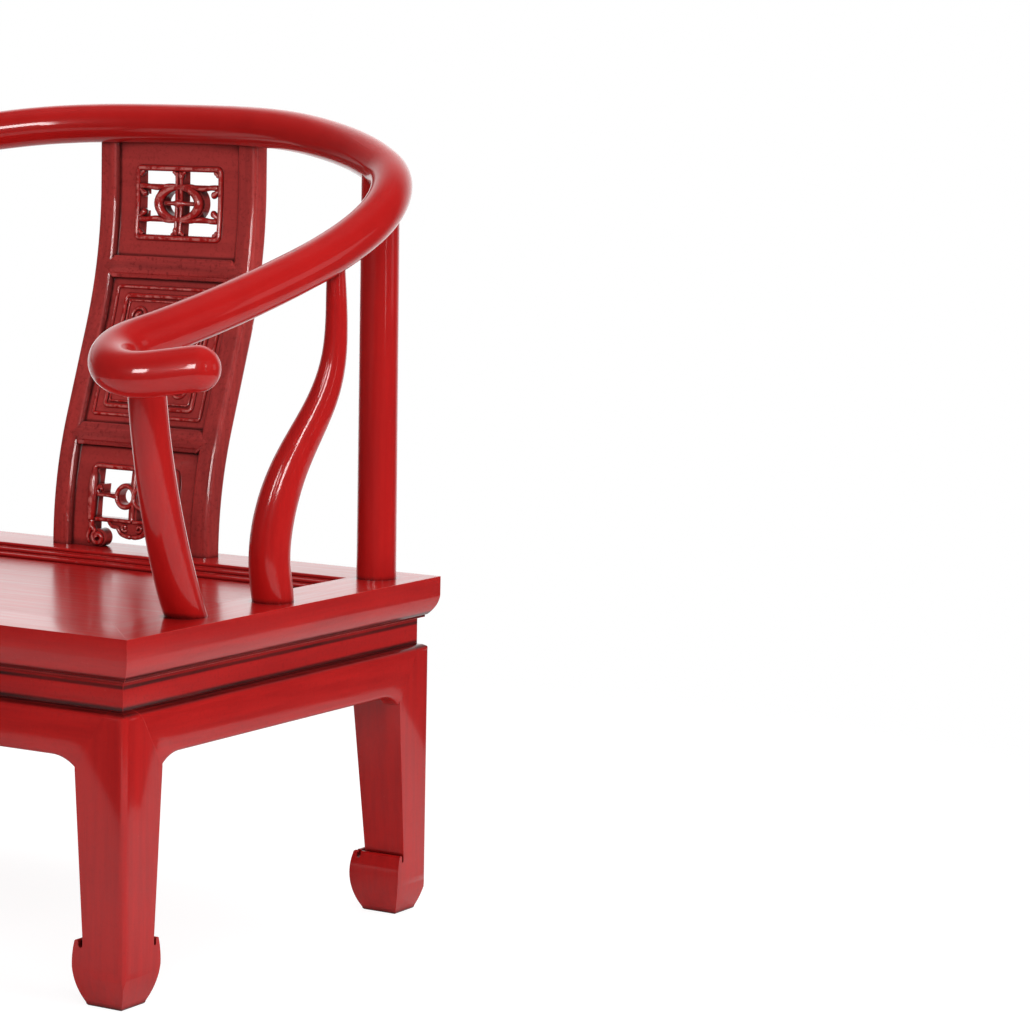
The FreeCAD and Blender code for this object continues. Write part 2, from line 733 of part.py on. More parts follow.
def bottom_openwork():
    """What the bottom panel leaves open: an arch down to the seat less its bars, scrolls and pendant."""
    half_w = arch_width / 2
    arch = slab(-half_w, half_w, seat_height - overrun, arch_top)
    bar = arch_bar_thickness / 2
    kept = [slab(-half_w, half_w, arch_bar_centre - bar, arch_bar_centre + bar),
            slab(-ring_bar / 2, ring_bar / 2, arch_bar_centre, arch_top)]
    link = scroll_link_thickness / 2
    kept.append(slab(-half_w, half_w, scroll_centre - link, scroll_centre + link))
    half_pendant = pendant_width / 2
    half_lobe = pendant_lobe_width / 2

    wing_x = half_pendant - pendant_shoulder * pendant_wing_share
    wing_drop = pendant_shoulder * (1 - pendant_wing_share / 2)

    def at(x, drop):
        return Vector(x, 0, arch_bar_centre - drop)

    pendant = outline([
        at(-half_pendant, 0),
        (at(-wing_x, wing_drop), at(-half_lobe, pendant_shoulder)),
        (at(0, pendant_drop), at(half_lobe, pendant_shoulder)),
        (at(wing_x, wing_drop), at(half_pendant, 0)),
    ])
    kept.append(pendant.extrude(Vector(0, seat_depth, 0)))
    scroll = foot_scroll_diameter / 2
    foot_scroll_x = half_w + scroll - foot_scroll_reach
    bores = []
    for side in (-1, 1):
        kept.append(disc(side * scroll_offset, scroll_centre, scroll_diameter / 2))
        kept.append(disc(side * foot_scroll_x, seat_height + scroll, scroll))
        x0, x1 = sorted((side * half_w, side * foot_scroll_x))
        kept.append(slab(x0, x1, seat_height - overrun, seat_height + scroll))
        x0, x1 = sorted((side * half_w, side * (half_w - side_hook_length)))
        kept.append(slab(x0, x1, scroll_centre, scroll_centre + side_hook_height))
        bores.append(disc(side * scroll_offset, scroll_centre, scroll_bore / 2))
        bores.append(disc(side * foot_scroll_x, seat_height + scroll, foot_scroll_bore / 2))
    arch = arch.cut(kept[0].multiFuse(kept[1:]))
    return arch.multiFuse(bores)


def splat_pieces():
    """Stiles, cross rails and panels, by name."""
    pieces = {}
    rail_low = seat_height - splat_tenon_depth
    inset = splat_tenon_inset
    cross = []
    for name, low in (("splat_low_rail", low_rail_low), ("splat_high_rail", high_rail_low)):
        rail = splat_slice(-half_between, half_between, cross_rail_thickness, low, low + cross_rail_depth)
        tenons = splat_slice(-half_between - cross_rail_tenon, half_between + cross_rail_tenon,
                             panel_board_thickness, low + inset, low + cross_rail_depth - inset)
        pieces[name] = rail.fuse(tenons)
        cross.append(pieces[name])
    edge = half_between + panel_groove
    low_top = low_rail_low + cross_rail_depth
    high_top = high_rail_low + cross_rail_depth
    crest_bottom = crest_under - splat_crest_tenon
    spans = (("splat_bottom_panel", seat_height, low_rail_low),
             ("splat_middle_panel", low_top, high_rail_low),
             ("splat_top_panel", high_top, crest_bottom + 2 * splat_crest_tenon))
    for name, low, high in spans:
        pieces[name] = splat_slice(-edge, edge, panel_board_thickness, low, high)
    pieces["splat_top_panel"] = pieces["splat_top_panel"].cut(top_openwork())
    pieces["splat_bottom_panel"] = pieces["splat_bottom_panel"].cut(bottom_openwork())
    others = [pieces[name] for name in pieces]
    stile_top = crest_under + rail_diameter * splat_top_share
    stile = splat_slice(half_between, half_splat, splat_thickness, seat_height, stile_top)
    long_edges = [e for e in stile.Edges if e.Length > 2 * splat_thickness and abs(
        e.Vertexes[0].X - e.Vertexes[-1].X) < splat_thickness / 2]
    stile = stile.makeFillet(stile_arris, long_edges)
    foot = splat_slice(half_between + inset, half_splat - inset, panel_board_thickness,
                       rail_low, seat_height + inset)
    pieces["splat_stile_right"] = stile.fuse(foot).cut(others[0].multiFuse(others[1:]))
    pieces["splat_stile_left"] = mirrored(pieces["splat_stile_right"], True)
    return pieces


def fuse_all(shapes):
    return shapes[0] if len(shapes) == 1 else shapes[0].multiFuse(shapes[1:])


os.makedirs("parts", exist_ok=True)

# The chair stands centred over the origin: half the difference between its reach to front and back
reach_back = crest_back_y + rail_diameter / 2
grip_points = [crest_point(grip_start + (grip_end - grip_start) * i / 90) for i in range(91)]
reach_front = max(rail_diameter / 2 - min(point.y for point in grip_points), half_depth)
origin_shift = (reach_front - reach_back) / 2

# Crest rail and posts
middle, shoulder, arm = crest_pieces()
POSTS = (
    ("back_post", back_post_place, corner_start - back_post_before_corner, back_post_diameters,
     back_post_shares),
    ("side_post", side_post_place, arm_start + side_post_past_corner, side_post_diameters,
     side_post_shares),
    ("front_post", front_post_place, grip_start - front_post_before_grip, front_post_diameters,
     front_post_shares),
)
posts = {}
foot_tenons = []
for name, place, crest_s, diameters, shares in POSTS:
    body, foot_tenon, head_tenon = post(place, crest_s, diameters, shares)
    body = body.cut(shoulder).cut(arm)
    body = max(body.Solids, key=lambda solid: solid.Volume)
    posts[name] = body.multiFuse([foot_tenon, head_tenon])
    foot_tenons.append(foot_tenon)
    shoulder = shoulder.cut(head_tenon)
    arm = arm.cut(head_tenon)

splat = splat_pieces()
for name in ("splat_stile_right", "splat_top_panel"):
    trimmed = splat[name].cut(middle)
    splat[name] = max(trimmed.Solids, key=lambda solid: solid.Volume)
    inner = splat_slice(half_between + splat_tenon_inset, half_splat - splat_tenon_inset,
                        panel_board_thickness, crest_under - splat_crest_tenon,
                        crest_under + splat_crest_tenon)
    if name == "splat_stile_right":
        splat[name] = splat[name].fuse(inner)
        middle = middle.cut(inner).cut(mirrored(inner, True))
splat["splat_stile_left"] = mirrored(splat["splat_stile_right"], True)

pins = [scarf_pin(centre) for centre in (BACK_SCARF, ARM_SCARF)]
middle = middle.cut(pins[0]).cut(mirrored(pins[0], True))
shoulder = shoulder.cut(pins[0]).cut(pins[1])
arm = arm.cut(pins[1])

save("crest_middle", middle)
for side, flip in (("right", False), ("left", True)):
    save("crest_shoulder_" + side, mirrored(shoulder, flip))
    save("crest_arm_" + side, mirrored(arm, flip))
    for name in posts:
        save(name + "_" + side, mirrored(posts[name], flip))
save("scarf_pins", Part.makeCompound([mirrored(pin, flip) for pin in pins for flip in (False, True)]))
for name in splat:
    save(name, splat[name])

# Legs, aprons and waist
waste = shoulder_waste()
aprons = {}
waists = {}
for side, turns, half_run, offset in SIDES:
    leg_width = leg_top_widths[turns % 2]
    aprons[side] = turned(apron(half_run, offset, leg_width), turns).cut(waste)
    face = waist_inset - offset
    back = face + waist_thickness
    strip = outline([Vector(0, face, apron_top), Vector(0, face, frame_bottom),
                     Vector(0, back, frame_bottom), Vector(0, back, apron_top)])
    strip = mitred_bar(strip, half_run - waist_inset, offset - waist_inset, waist_thickness)
    tongue_back = waist_back - offset
    tongue_run = half_run - waist_back - leg_width
    tongue = box(-tongue_run, tongue_run, tongue_back - waist_tongue_width, tongue_back,
                 apron_top, frame_bottom + waist_tongue_height)
    waists[side] = turned(strip.fuse(tongue), turns)
all_aprons = fuse_all(list(aprons.values()))
corner_leg = leg().cut(waste)
legs = {}
for side, across_x in (("right", False), ("left", True)):
    for end, across_y in (("front", False), ("back", True)):
        legs["leg_%s_%s" % (end, side)] = mirrored(corner_leg, across_x, across_y).cut(all_aprons)

# Seat frame and panel
rails = {}
for side, turns, half_run, offset in SIDES:
    rails[side] = turned(mitred_bar(frame_rail_section(offset), half_run, offset, rail_width), turns)
corner_tenons = []
low = frame_bottom + corner_tenon_low
x1 = half_width - corner_tenon_inset
y1 = half_depth - corner_tenon_end
corner = box(x1 - corner_tenon_width, x1, y1 - corner_tenon_length, y1, low, low + corner_tenon_height)
for flip_x in (False, True):
    for flip_y in (False, True):
        corner_tenons.append(mirrored(corner, flip_x, flip_y))
for side in ("left", "right"):
    mine = [tenon for tenon in corner_tenons if (tenon.BoundBox.XMax > 0) == (side == "right")]
    rails[side] = rails[side].multiFuse(mine)
panel_half_x = half_width - rail_width
panel_half_y = half_depth - rail_width
panel = box(-panel_half_x, panel_half_x, -panel_half_y, panel_half_y, panel_bottom, panel_top)
tongue_low = panel_bottom + (panel_thickness - panel_tongue_thickness) / 2
panel = panel.fuse(box(-panel_half_x - panel_tongue_length, panel_half_x + panel_tongue_length,
                       -panel_half_y - panel_tongue_length, panel_half_y + panel_tongue_length,
                       tongue_low, tongue_low + panel_tongue_thickness))
battens = {}
half_batten = batten_width / 2
for side, x in (("left", -batten_spread), ("right", batten_spread)):
    section = outline([Vector(x - half_batten, -panel_half_y, frame_bottom),
                       Vector(x + half_batten, -panel_half_y, frame_bottom),
                       Vector(x + half_batten, -panel_half_y, panel_bottom),
                       Vector(x + half_batten - batten_flare, -panel_half_y, panel_bottom),
                       Vector(x + half_batten, -panel_half_y, panel_bottom + batten_dovetail),
                       Vector(x - half_batten, -panel_half_y, panel_bottom + batten_dovetail),
                       Vector(x - half_batten + batten_flare, -panel_half_y, panel_bottom),
                       Vector(x - half_batten, -panel_half_y, panel_bottom)])
    bar = section.extrude(Vector(0, 2 * panel_half_y, 0))
    reach = panel_half_y + batten_tenon_length
    tenon = box(x - half_batten / 2, x + half_batten / 2, -reach, reach,
                frame_bottom + batten_dovetail, panel_bottom - batten_dovetail / 2)
    battens[side] = bar.fuse(tenon)
panel = panel.cut(fuse_all(list(battens.values())))

splat_feet = [splat["splat_stile_right"], splat["splat_stile_left"], splat["splat_bottom_panel"]]
sockets = [mirrored(tenon, flip) for tenon in foot_tenons for flip in (False, True)]
sockets += list(waists.values()) + list(battens.values()) + splat_feet + list(legs.values())
sockets = fuse_all(sockets)
for side in ("left", "right"):
    rails[side] = rails[side].cut(sockets)
for side in ("front", "back"):
    rails[side] = rails[side].cut(sockets).cut(fuse_all(corner_tenons))

for side in rails:
    save("seat_rail_" + side, rails[side])
    save("waist_" + side, waists[side])
    save("apron_" + side, aprons[side])
save("seat_panel", panel)
for side in battens:
    save("batten_" + side, battens[side])
for name in legs:
    save(name, legs[name])
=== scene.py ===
import json
import math

import bmesh
import bpy
from mathutils import Matrix, Vector
from mathutils.bvhtree import BVHTree

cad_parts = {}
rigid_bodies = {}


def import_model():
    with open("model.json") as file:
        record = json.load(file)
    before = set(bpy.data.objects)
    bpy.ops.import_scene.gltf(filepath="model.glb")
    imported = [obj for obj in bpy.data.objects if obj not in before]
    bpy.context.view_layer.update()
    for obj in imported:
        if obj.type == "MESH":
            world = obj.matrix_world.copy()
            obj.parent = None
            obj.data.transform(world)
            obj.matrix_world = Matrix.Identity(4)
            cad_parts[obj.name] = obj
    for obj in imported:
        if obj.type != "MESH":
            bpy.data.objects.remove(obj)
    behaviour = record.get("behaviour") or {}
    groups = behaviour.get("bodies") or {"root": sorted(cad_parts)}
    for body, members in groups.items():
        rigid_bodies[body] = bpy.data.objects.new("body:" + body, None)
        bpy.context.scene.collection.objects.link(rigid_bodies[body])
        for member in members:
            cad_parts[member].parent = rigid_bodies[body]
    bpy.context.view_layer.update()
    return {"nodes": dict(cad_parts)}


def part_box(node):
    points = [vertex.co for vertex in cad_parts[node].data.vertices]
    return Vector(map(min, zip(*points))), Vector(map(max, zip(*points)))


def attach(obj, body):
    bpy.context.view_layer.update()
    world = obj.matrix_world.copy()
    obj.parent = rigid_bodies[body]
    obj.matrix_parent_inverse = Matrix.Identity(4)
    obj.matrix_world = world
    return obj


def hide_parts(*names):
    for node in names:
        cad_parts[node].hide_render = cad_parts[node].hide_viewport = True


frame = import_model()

bl_info = {
    "name": "Horseshoe-back Armchair",
    "version": (1, 0, 0),
    "blender": (4, 5, 0),
    "location": "View3D > Sidebar > Armchair",
    "description": "Dresses the joined parts of a low red lacquered armchair with a horseshoe back",
    "category": "Object",
}

MM = 0.001
BODY = "root"
SIDES = ("left", "right")
RUNS = (("front", "x"), ("back", "x"), ("left", "y"), ("right", "y"))
SPLAT_PANELS = ("splat_top_panel", "splat_middle_panel", "splat_bottom_panel")
CROSS_RAILS = ("splat_low_rail", "splat_high_rail")
WAIST_HEIGHT = 27 * MM

# Two pieces meet where they lie this near and their faces look at each other this squarely.
SEAM_GAP = 0.6 * MM
SQUARELY = -0.9
WELD = 0.01 * MM
FLAT_ANGLE = math.radians(0.4)
RIDGE_ANGLE = math.radians(24)
NEIGHBOURS = {name: BVHTree.FromPolygons([v.co for v in item.data.vertices],
                                         [tuple(p.vertices) for p in item.data.polygons])
              for name, item in frame["nodes"].items()}

# How finely the streaks are cut in each direction, and the patterns in the lacquer.
GRAIN = {"x": (2.0, 34.0, 34.0), "y": (34.0, 2.0, 34.0), "z": (34.0, 34.0, 2.0), "round": (9.0, 9.0, 9.0)}
NOISES = {
    "streaks": {"Scale": 3.4, "Detail": 6.0, "Roughness": 0.66},
    "clouds": {"Scale": 6.0, "Detail": 3.0, "Roughness": 0.5},
    "specks": {"Scale": 170.0, "Detail": 3.0, "Roughness": 0.7},
    "spots": {"Scale": 240.0, "Detail": 4.0, "Roughness": 0.75},
    "crown patches": {"Scale": 130.0, "Detail": 3.0, "Roughness": 0.6},
    "arris patches": {"Scale": 38.0, "Detail": 5.0, "Roughness": 0.65},
}

# Thin dark lines: half width and strength. The stile, cross rail and waist foot lines are dark joints, and
# the waist top line a dark line near the waist's top; the roll foot line is painted shade under the frame's
# roll, and the seat panel line painted shade with a painted dark reflection along the inner edge of the
# frame's flat.
JOINT_AND_SHADE_LINES = {
    "stile": (0.0030, 0.85),
    "cross rail": (0.0035, 0.85),
    "seat panel": (0.0085, 1.0),
    "roll foot": (0.0042, 0.95),
    "waist top": (0.0026, 1.0),
    "waist foot": (0.0042, 1.0),
}
BEAD_SIDES = 12

# Name, setting with its power, place, width and height, and whether only the gloss sees the lamp.
LAMPS = (
    ("key lamp", "key", (1.9, -2.5, 2.1), (2.2, 2.2), False),
    ("side lamp", "side", (3.0, 0.0, 1.4), (1.8, 1.8), False),
    ("streak lamp", "streak", (2.3, 1.15, 0.85), (0.8, 0.8), True),
    ("strip lamp", "strip", (2.9, -0.78, 1.0), (0.12, 1.3), True),
    ("top lamp", "top", (-0.3, 0.6, 2.8), (3.2, 2.4), False),
    ("window lamp", "window", (-0.14, -3.2, 1.42), (1.10, 0.80), True),
    ("pane lamp", "pane", (1.45, -3.10, 1.42), (0.60, 1.10), True),
)
LAMP_AIM = Vector((0, 0, 0.4))
BEHIND_CHAIR = (-0.51, 0.86, 0.0)
BACKDROP_EDGE = (0.50, 0.98)
SENSOR_WIDTH = 36.0
FLOOR_REACH = 1.6
FLOOR_SIDES = 96
FLOOR_FADE = (0.7, 1.5)


class LacquerLook(bpy.types.PropertyGroup):
    """Colours and gloss of the lacquer."""
    bright: bpy.props.FloatVectorProperty(
        name="Bright Red", description="Lacquer where it is thick and clean", subtype="COLOR",
        size=3, min=0, max=1, default=(0.52, 0.0105, 0.0095))
    deep: bpy.props.FloatVectorProperty(
        name="Deep Red", description="Lacquer in its darker streaks", subtype="COLOR",
        size=3, min=0, max=1, default=(0.36, 0.0085, 0.009))
    aged: bpy.props.FloatVectorProperty(
        name="Aged Red", description="Brownish red of the carved back", subtype="COLOR",
        size=3, min=0, max=1, default=(0.56, 0.055, 0.050))
    dull: bpy.props.FloatVectorProperty(
        name="Dull Red", description="Darker clouds on the carved back", subtype="COLOR",
        size=3, min=0, max=1, default=(0.32, 0.036, 0.034))
    # Dark brown of the painted shade in corners and on the beads' sides, of dark joints and of dark spots
    shade_joint_and_spot_brown: bpy.props.FloatVectorProperty(
        name="Shade, Joint and Spot Brown", description="Dark brown of painted shade in corners and on bead sides, of dark joints and of dark spots", subtype="COLOR",
        size=3, min=0, max=1, default=(0.030, 0.004, 0.004))
    # Pink of rubbed specks, and of rubbed wear and painted highlights on the arrises
    wear_and_highlight_pink: bpy.props.FloatVectorProperty(
        name="Wear and Highlight Pink", description="Rubbed lacquer in specks and on arrises, and painted highlights on arrises", subtype="COLOR",
        size=3, min=0, max=1, default=(0.66, 0.13, 0.11))
    # Pale pink of rubbed wear and a painted highlight on the carving's crowns
    crown_wear_and_highlight: bpy.props.FloatVectorProperty(
        name="Crown Wear and Highlight", description="Pale pink on the carving's crowns: rubbed lacquer and a painted highlight", subtype="COLOR",
        size=3, min=0, max=1, default=(0.80, 0.28, 0.25))
    roughness: bpy.props.FloatProperty(
        name="Roughness", description="Roughness under the clear top coat", min=0, max=1, default=0.33)
    sheen: bpy.props.FloatProperty(
        name="Sheen Under the Coat", description="Soft gloss of the colour layer", min=0, max=1, default=0.09)
    coat: bpy.props.FloatProperty(
        name="Top Coat", description="Strength of the clear top coat", min=0, max=1, default=0.80)
    coat_roughness: bpy.props.FloatProperty(
        name="Top Coat Roughness", description="Roughness of the clear top coat", min=0, max=1, default=0.09)
    brush_depth: bpy.props.FloatProperty(
        name="Brush Depth", description="Height of the brush marks in the lacquer", unit="LENGTH",
        min=0, max=0.001, default=0.00010)
    # How far the painted shade in the corners reaches
    corner_shade_reach: bpy.props.FloatProperty(
        name="Corner Shade Reach", description="How far the painted shade reaches out of a corner", unit="LENGTH",
        min=0, max=0.03, default=0.007)


class JoineryLook(bpy.types.PropertyGroup):
    """Rounding of the timber's arrises, and the step inside the seat frame."""
    frame_arris: bpy.props.FloatProperty(
        name="Frame Arris", description="Rounding of the seat frame's edges", unit="LENGTH",
        min=0.0002, max=0.004, default=0.0012)
    leg_arris: bpy.props.FloatProperty(
        name="Leg Arris", description="Rounding of the legs' and aprons' edges", unit="LENGTH",
        min=0.0002, max=0.004, default=0.0014)
    splat_arris: bpy.props.FloatProperty(
        name="Splat Arris", description="Rounding of the carved panels' edges", unit="LENGTH",
        min=0.0002, max=0.004, default=0.0012)
    side_arris: bpy.props.FloatProperty(
        name="Leg Side Arris", description="Rounding of each leg's two side arrises", unit="LENGTH",
        min=0.001, max=0.006, default=0.0042)
    inner_step: bpy.props.FloatProperty(
        name="Inner Step", description="Width of the step between the frame's flat and the seat panel",
        unit="LENGTH", min=0.002, max=0.03, default=0.011)
    seam_arris: bpy.props.FloatProperty(
        name="Seam Arris", description="Rounding where two pieces meet", unit="LENGTH",
        min=0.00005, max=0.002, default=0.0002)
    arris_angle: bpy.props.FloatProperty(
        name="Arris Angle", description="Edges that turn by more than this are rounded", subtype="ANGLE",
        min=0.2, max=1.5, default=math.radians(32))


class CarvingSizes(bpy.types.PropertyGroup):
    """Beads and ornament carved on the back."""
    window_width: bpy.props.FloatProperty(
        name="Window Width", description="Clear width of the top window", unit="LENGTH", default=0.101)
    window_height: bpy.props.FloatProperty(
        name="Window Height", description="Clear height of the top window", unit="LENGTH", default=0.0672)
    crest_diameter: bpy.props.FloatProperty(
        name="Crest Diameter", description="Diameter of the crest rail over the back", unit="LENGTH",
        default=0.041)
    window_below_crest: bpy.props.FloatProperty(
        name="Window Below Crest", description="From the panel's visible top to the window", unit="LENGTH",
        default=0.0297)
    frame_bead: bpy.props.FloatProperty(
        name="Frame Bead", description="Width of the bead round the windows", unit="LENGTH",
        min=0.001, max=0.02, default=0.0066)
    arch_width: bpy.props.FloatProperty(
        name="Arch Width", description="Clear width of the lower opening", unit="LENGTH", default=0.098)
    arch_height: bpy.props.FloatProperty(
        name="Arch Height", description="From the seat to the top of the lower opening", unit="LENGTH",
        default=0.082)
    field_bead: bpy.props.FloatProperty(
        name="Field Bead", description="Width of the beads round the middle panel's field", unit="LENGTH",
        min=0.001, max=0.01, default=0.0050)
    scroll_bead: bpy.props.FloatProperty(
        name="Scroll Bead", description="Width of the scrolls in the middle panel", unit="LENGTH",
        min=0.001, max=0.01, default=0.0042)
    rail_height: bpy.props.FloatProperty(
        name="Cross Rail Height", description="Height of the back's moulded cross rails", unit="LENGTH",
        min=0.01, max=0.04, default=0.0235)
    rail_beak: bpy.props.FloatProperty(
        name="Cross Rail Beak", description="How far a cross rail's pointed end runs on to the stile",
        unit="LENGTH", min=0.002, max=0.02, default=0.0105)
    bead_sides: bpy.props.IntProperty(
        name="Bead Sides", description="Sides of a bead's round section", min=6, max=24, default=BEAD_SIDES)


class StudioSettings(bpy.types.PropertyGroup):
    """Camera and light of the photograph."""
    azimuth: bpy.props.FloatProperty(
        name="Azimuth", description="Where the camera stands, from straight in front towards the right",
        subtype="ANGLE", default=math.radians(30.81))
    elevation: bpy.props.FloatProperty(
        name="Elevation", description="How far the camera looks down", subtype="ANGLE",
        default=math.radians(6.905))
    roll: bpy.props.FloatProperty(
        name="Roll", description="Turn of the camera about its view", subtype="ANGLE",
        default=math.radians(1.087))
    distance: bpy.props.FloatProperty(
        name="Distance", description="From the camera to the point it looks at", unit="LENGTH",
        default=3.3697)
    target: bpy.props.FloatVectorProperty(
        name="Target", description="Point at the middle of the picture", subtype="TRANSLATION",
        size=3, default=(0.4437, 0.2436, 0.4077))
    lens: bpy.props.FloatProperty(
        name="Focal Length", description="Focal length in millimetres on a 36 mm sensor", default=118.69)
    key: bpy.props.FloatProperty(
        name="Key Light", description="Power of the large soft lamp at the front", unit="POWER", default=42.0)
    side: bpy.props.FloatProperty(
        name="Side Light", description="Power of the soft lamp on the right", unit="POWER", default=37.0)
    streak: bpy.props.FloatProperty(
        name="Streak Light", description="Power of the lamp whose streak runs along the arm", unit="POWER",
        default=1.3)
    strip: bpy.props.FloatProperty(
        name="Strip Light", description="Power of the narrow lamp that streaks the right-hand arrises",
        unit="POWER", default=2.4)
    top: bpy.props.FloatProperty(
        name="Top Light", description="Power of the lamp overhead", unit="POWER", default=44.0)
    window: bpy.props.FloatProperty(
        name="Window Light", description="Power of the lamp in front that glints in the gloss", unit="POWER",
        default=55.0)
    pane: bpy.props.FloatProperty(
        name="Pane Light", description="Power of the smaller lamp beside the window lamp", unit="POWER",
        default=42.0)
    ambient: bpy.props.FloatProperty(
        name="Ambient Light", description="Brightness of the room's soft light", min=0, default=0.25)
    front_gloom: bpy.props.FloatProperty(
        name="Front Reflection", description="Brightness of the room's front as the gloss reflects it",
        min=0, default=0.05)
    backdrop: bpy.props.FloatProperty(
        name="Backdrop Reflection", description="Brightness of the backdrop as the gloss reflects it",
        min=0, default=1.25)


def link(item):
    """Puts an object in the scene."""
    bpy.context.scene.collection.objects.link(item)
    return item


class NodePad:
    """Adds nodes and joins their sockets; an input goes by its name, or by i and its number."""

    def __init__(self, tree):
        self.tree = tree

    def add(self, kind, settings=None, **inputs):
        """A new node with its settings, and its inputs set or joined."""
        node = self.tree.nodes.new(kind)
        for name, value in (settings or {}).items():
            setattr(node, name, value)
        for name, value in inputs.items():
            numbered = name[0] == "i" and name[1:].isdigit()
            socket = node.inputs[int(name[1:]) if numbered else name.replace("_", " ")]
            if isinstance(value, bpy.types.NodeSocket):
                self.tree.links.new(value, socket)
            else:
                socket.default_value = value
        return node

    def math(self, operation, a, b=0.0, clamp=False):
        """The result of a sum on two values."""
        return self.add("ShaderNodeMath", {"operation": operation, "use_clamp": clamp}, i0=a, i1=b).outputs[0]

    def mix(self, factor, first, second):
        """The first colour where the factor is 0, and the second where it is 1."""
        return self.add("ShaderNodeMix", {"data_type": "RGBA"}, i0=factor, i6=first, i7=second).outputs[2]

    def noise(self, name, place):
        """One of the patterns in NOISES."""
        return self.add("ShaderNodeTexNoise", Vector=place, **NOISES[name]).outputs[0]

    def band(self, value, low, high, low_out=0.0, high_out=1.0):
        """A smooth step between two outputs as the value goes from low to high."""
        node = self.add("ShaderNodeMapRange", {"interpolation_type": "SMOOTHSTEP"},
                        Value=value, i1=low, i2=high, i3=low_out, i4=high_out)
        return node.outputs[0]

    def by_ray(self, light, gloss, camera):
        """One shader to light the scene, one for what the gloss reflects and one for the camera."""
        path = self.add("ShaderNodeLightPath").outputs
        unseen = self.add("ShaderNodeMixShader", i0=path["Is Glossy Ray"], i1=light.outputs[0],
                          i2=gloss.outputs[0])
        return self.add("ShaderNodeMixShader", i0=path["Is Camera Ray"], i1=unseen.outputs[0],
                        i2=camera.outputs[0]).outputs[0]


def rgba(colour):
    """A colour setting as a socket takes it."""
    return (colour[0], colour[1], colour[2], 1.0)


def grey(level):
    """A grey, or white at 1."""
    return (level, level, level, 1.0)


def blank_material(name):
    """A material with no nodes, and the pad that fills it."""
    material = bpy.data.materials.new(name)
    material.use_nodes = True
    material.node_tree.nodes.clear()
    return material, NodePad(material.node_tree)


def coated(pad, look, colour, roughness, bump, blur=None):
    """The colour layer under a clear top coat; blur overrides the top coat's roughness."""
    return pad.add("ShaderNodeBsdfPrincipled", Base_Color=colour, Roughness=roughness, Normal=bump, IOR=1.45,
                   Specular_IOR_Level=look.sheen, Coat_Weight=look.coat,
                   Coat_Roughness=blur or look.coat_roughness)


